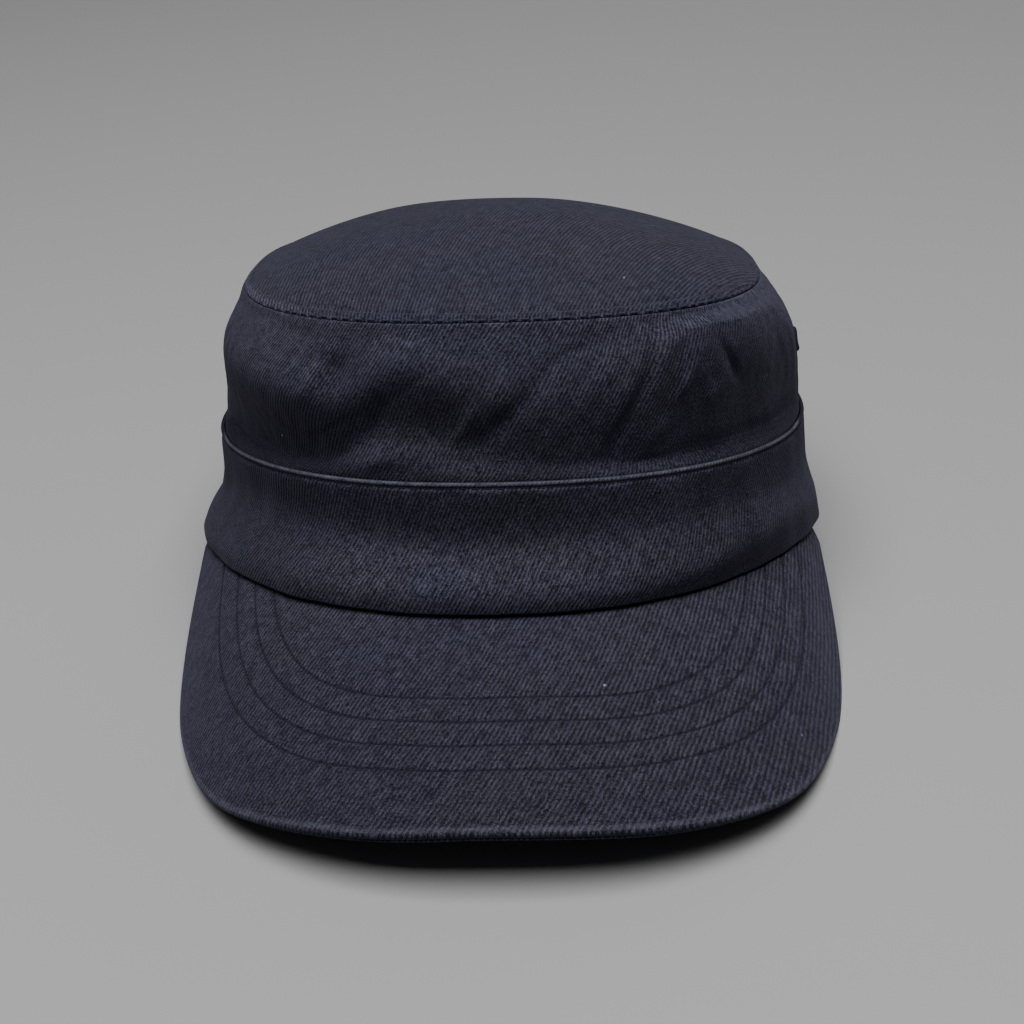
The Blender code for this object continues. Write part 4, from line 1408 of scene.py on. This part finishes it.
class CAP_OT_peak(bpy.types.Operator):
    """Peak: its cover, the cloth of its underside and the rows of stitches."""

    bl_idname = "cap.peak"
    bl_label = "Peak"

    def execute(self, context):
        cap = CapShape(context.scene)
        size = cap.sizes
        colours = context.scene.cap_colours
        weave = (cap.sewing.peak_slant, cap.sewing.peak_pitch)
        dyes = (colours.peak_navy, colours.peak_faded)
        # Faint pale line on the rim: partly wear, partly a painted highlight on its rounded top
        rubbed_and_lit = (0.3 * MM, 1.0 * MM, 0.22)
        material = twill("peak_twill", context.scene, *weave, *dyes, rubbed_and_lit=rubbed_and_lit, rows=True)
        rows = 1.0 - np.linspace(1.0, 0.0, PEAK_ROWS) ** 1.08
        face = cap.peak(size.peak_cover / 2.0, rows)
        self.sheet(cap, "peak_top", face, size.peak_cover, material, "peak_twill", "peak_cover")

        dyes = (colours.lining, colours.lining)
        slot = "peak_underside_twill"
        material = twill(slot, context.scene, *weave, *dyes)
        rows = 1.0 - np.linspace(1.0, 0.0, PEAK_ROWS // 2)
        upper = cap.peak(size.peak_lining_inset + size.peak_lining / 2.0, rows)
        below = upper - face_normals(upper, False) * (size.peak_cover + size.gap)
        self.sheet(cap, "peak_under", below, size.peak_lining, material, slot, "peak_underside")

        tubes = np.concatenate([self.row_tubes(cap, row) for row in range(STITCH_ROWS)])
        add_stitches("peak_stitching", tubes, thread_material("peak_thread", context.scene))
        return {"FINISHED"}

    def sheet(self, cap, name, face, wall, material, slot, node):
        """One rolled sheet of the peak, thinner and then closed to a point at both corners.

        Its attribute edge is the distance from the free edge, inwards on its face and below 0
        past the edge. Its cloth is darker going forward, and painted paler at +X as painted light.
        """
        size = cap.sizes
        reach = np.linalg.norm(face[0] - face[-1], axis=-1)
        thick = wall * (0.06 + 0.94 * smooth_step(0.0, 9.0 * MM, reach))
        loop, places, on = rolled(face, thick[None, :, None], False)
        points = np.broadcast_to(loop.mean(axis=0, keepdims=True), loop.shape)
        loop = np.concatenate([points[:, :1], loop, points[:, -1:]], axis=1)
        slope = math.hypot(1.0, size.peak_fall)
        again = np.concatenate([loop, loop[:1]])
        middle = -size.hem_half_length - 0.55 * size.peak_length
        cloth = fanned(again, middle, cap.sewing.fan) * np.array([1.0, slope])
        deep = np.linalg.norm(face - face[-1:], axis=-1).mean(axis=1)
        edge = np.interp(places, np.arange(len(face)), deep)
        edge = edge - on * (math.pi / 2.0 * wall) * (places > 0.0) + (places == 0.0) * UNRUBBED
        edge = np.broadcast_to(edge[:, None], loop.shape[:2])
        row = cap.stitch_row(loop[..., 0], loop[..., 1])
        ahead = np.clip((cap.hem_front(loop[..., 0]) - loop[..., 1]) / size.peak_length, 0.0, 1.0)
        # Painted light: darker going forward and paler at +X
        lit_and_worn = 0.28 - 0.55 * ahead + 0.25 * loop[..., 0] / size.hem_half_width
        values = {"edge": edge, "stitch_row": row, "wear": lit_and_worn}
        mesh = grid_mesh(name, cap.at_rest(loop), True, False, cloth, values)
        add_piece(name, mesh, material, [node])

    def row_tubes(self, cap, row):
        """Stitches of one row: its bow from hem to hem, laid in the groove of the peak's face."""
        sewing = cap.sewing
        width, reach, square = cap.row_bow(row)
        sweep = np.linspace(-math.pi / 2.0, math.pi / 2.0, ROW_POINTS)
        x = sewing.row_aside + width * powered(np.sin(sweep), square)
        y = -sewing.row_behind - reach * powered(np.cos(sweep), square)
        shown = y < cap.hem_front(x) - sewing.row_margin
        x, y = x[shown], y[shown]
        line = np.stack([x, y, cap.peak_height(x, y)], axis=-1)
        run = run_along(line)
        seed = ROW_SEED + row
        places = stitch_places(run[-1], sewing.stitch_pitch, sewing.stitch_length, seed)
        centres = points_at(places, run, line)
        step = 2.0 * MM
        x, y = centres[..., 0], centres[..., 1]
        fall_x = (cap.peak_height(x + step, y) - cap.peak_height(x - step, y)) / (2.0 * step)
        fall_y = (cap.peak_height(x, y + step) - cap.peak_height(x, y - step)) / (2.0 * step)
        normals = unit(np.stack([-fall_x, -fall_y, np.ones_like(fall_x)], axis=-1))
        return laid_threads(cap, centres, normals, sewing.thread_radius)


class CAP_OT_eyelets(bpy.types.Operator):
    """Two vent eyelets: rings of thread wrapped round the holes in the crown wall.

    A ring's section is a squared oval carried round a circle and pinched between the wraps.
    """

    bl_idname = "cap.eyelets"
    bl_label = "Eyelets"

    def execute(self, context):
        cap = CapShape(context.scene)
        size = cap.sizes
        material = thread_material("eyelet_thread", context.scene, 1.1)
        around = np.linspace(0.0, 2.0 * math.pi, EYELET_COLUMNS, endpoint=False)[None, :]
        section = np.linspace(0.0, 2.0 * math.pi, EYELET_ROWS, endpoint=False)[:, None]
        ring_half = (size.eyelet_radius - size.eyelet_bore) / 2.0
        wraps = 0.5 + 0.5 * np.cos(EYELET_WRAPS * around + 0.5 * np.sin(5 * around + 1.0))
        swell = 1.0 + 0.05 * np.sin(3 * around) - 0.09 * (1.0 - wraps)
        width = ring_half * powered(np.cos(section), 2.4) * swell
        radius = size.eyelet_bore + ring_half + width
        height = size.eyelet_height * powered(np.sin(section), 2.1) * swell
        for name, (spot, out, side, rise) in eyelet_spots(cap).items():
            ray = side * np.cos(around)[..., None] + rise * np.sin(around)[..., None]
            points = spot + out * height[..., None] + ray * radius[..., None]
            mesh = grid_mesh("eyelet_ring_" + name, cap.at_rest(points), True, True)
            add_piece("eyelet_ring_" + name, mesh, material, ["eyelet_" + name])
        return {"FINISHED"}


class CAP_OT_stage(bpy.types.Operator):
    """Pale floor, soft lights and the camera."""

    bl_idname = "cap.stage"
    bl_label = "Stage"

    def execute(self, context):
        scene = context.scene
        stage = scene.cap_stage
        signs = ((-1, -1), (1, -1), (1, 1), (-1, 1))
        corners = [(x * FLOOR_HALF, y * FLOOR_HALF, 0.0) for x, y in signs]
        mesh = bpy.data.meshes.new("floor")
        mesh.from_pydata(corners, [], [(0, 1, 2, 3)])
        shader = Shader("floor_matte", roughness=0.9, sheen=0.0)
        shader.feed(shader.surface.inputs["Base Color"], rgba(scene.cap_colours.floor))
        mesh.materials.append(shader.material)
        floor = bpy.data.objects.new("floor", mesh)
        scene.collection.objects.link(floor)

        target = Vector((stage.target_x, stage.target_y, stage.target_z))
        for name, (place, width) in LAMPS.items():
            self.lamp(scene, name, place, width, getattr(stage, name), target)
        world = bpy.data.worlds.new("studio")
        world.use_nodes = True
        background = world.node_tree.nodes["Background"]
        background.inputs["Color"].default_value = SKY_COLOUR
        background.inputs["Strength"].default_value = stage.sky
        scene.world = world

        level = math.cos(stage.elevation)
        plan = (math.sin(stage.azimuth) * level, -math.cos(stage.azimuth) * level)
        back = Vector((*plan, math.sin(stage.elevation)))
        right = back.cross(Vector((0.0, 0.0, -1.0))).normalized()
        upright = back.cross(right)
        cos, sin = math.cos(stage.roll), math.sin(stage.roll)
        turned = [right * cos + upright * sin, upright * cos - right * sin, back]
        camera = bpy.data.cameras.new("camera")
        camera.lens = stage.lens
        camera.sensor_width = FRAME_WIDTH
        camera.clip_start = 0.01
        view = bpy.data.objects.new("camera", camera)
        facing = Matrix([list(axis) for axis in turned]).transposed().to_4x4()
        view.matrix_world = Matrix.Translation(target + back * stage.distance) @ facing
        scene.collection.objects.link(view)
        scene.camera = view
        return {"FINISHED"}

    def lamp(self, scene, name, place, width, power, target):
        """Square soft light aimed at the cap."""
        light = bpy.data.lights.new(name, "AREA")
        light.size = width
        light.energy = power
        lamp = bpy.data.objects.new(name, light)
        lamp.location = place
        lamp.rotation_euler = (target - Vector(place)).to_track_quat("-Z", "Y").to_euler()
        scene.collection.objects.link(lamp)


class CAP_PT_panel(bpy.types.Panel):
    """Operators and settings of the cap."""

    bl_idname = "CAP_PT_panel"
    bl_label = "Patrol Cap"
    bl_space_type = "VIEW_3D"
    bl_region_type = "UI"
    bl_category = "Cap"

    def draw(self, context):
        for operator in OPERATORS:
            self.layout.operator(operator.bl_idname)
        for group in GROUPS:
            settings = getattr(context.scene, group)
            for name in settings.bl_rna.properties.keys():
                if name not in ("rna_type", "name"):
                    self.layout.prop(settings, name)


OPERATORS = (
    CAP_OT_crown_wall,
    CAP_OT_top_panel,
    CAP_OT_band,
    CAP_OT_peak,
    CAP_OT_eyelets,
    CAP_OT_stage,
)
GROUPS = {
    "cap_sizes": CapSizes,
    "cap_sewing": SewingSizes,
    "cap_colours": CapColours,
    "cap_stage": StageSettings,
}


def register():
    """Register the classes and the scene's settings."""
    for group in (*GROUPS.values(), *OPERATORS, CAP_PT_panel):
        bpy.utils.register_class(group)
    for name, group in GROUPS.items():
        setattr(bpy.types.Scene, name, PointerProperty(type=group))


def unregister():
    """Remove the scene's settings and the classes."""
    for name in GROUPS:
        delattr(bpy.types.Scene, name)
    for group in (CAP_PT_panel, *reversed(OPERATORS), *reversed(list(GROUPS.values()))):
        bpy.utils.unregister_class(group)


def main():
    """Build the cap and its stage."""
    register()
    for operator in OPERATORS:
        _, name = operator.bl_idname.split(".")
        getattr(bpy.ops.cap, name)()


if __name__ == "__main__":
    main()
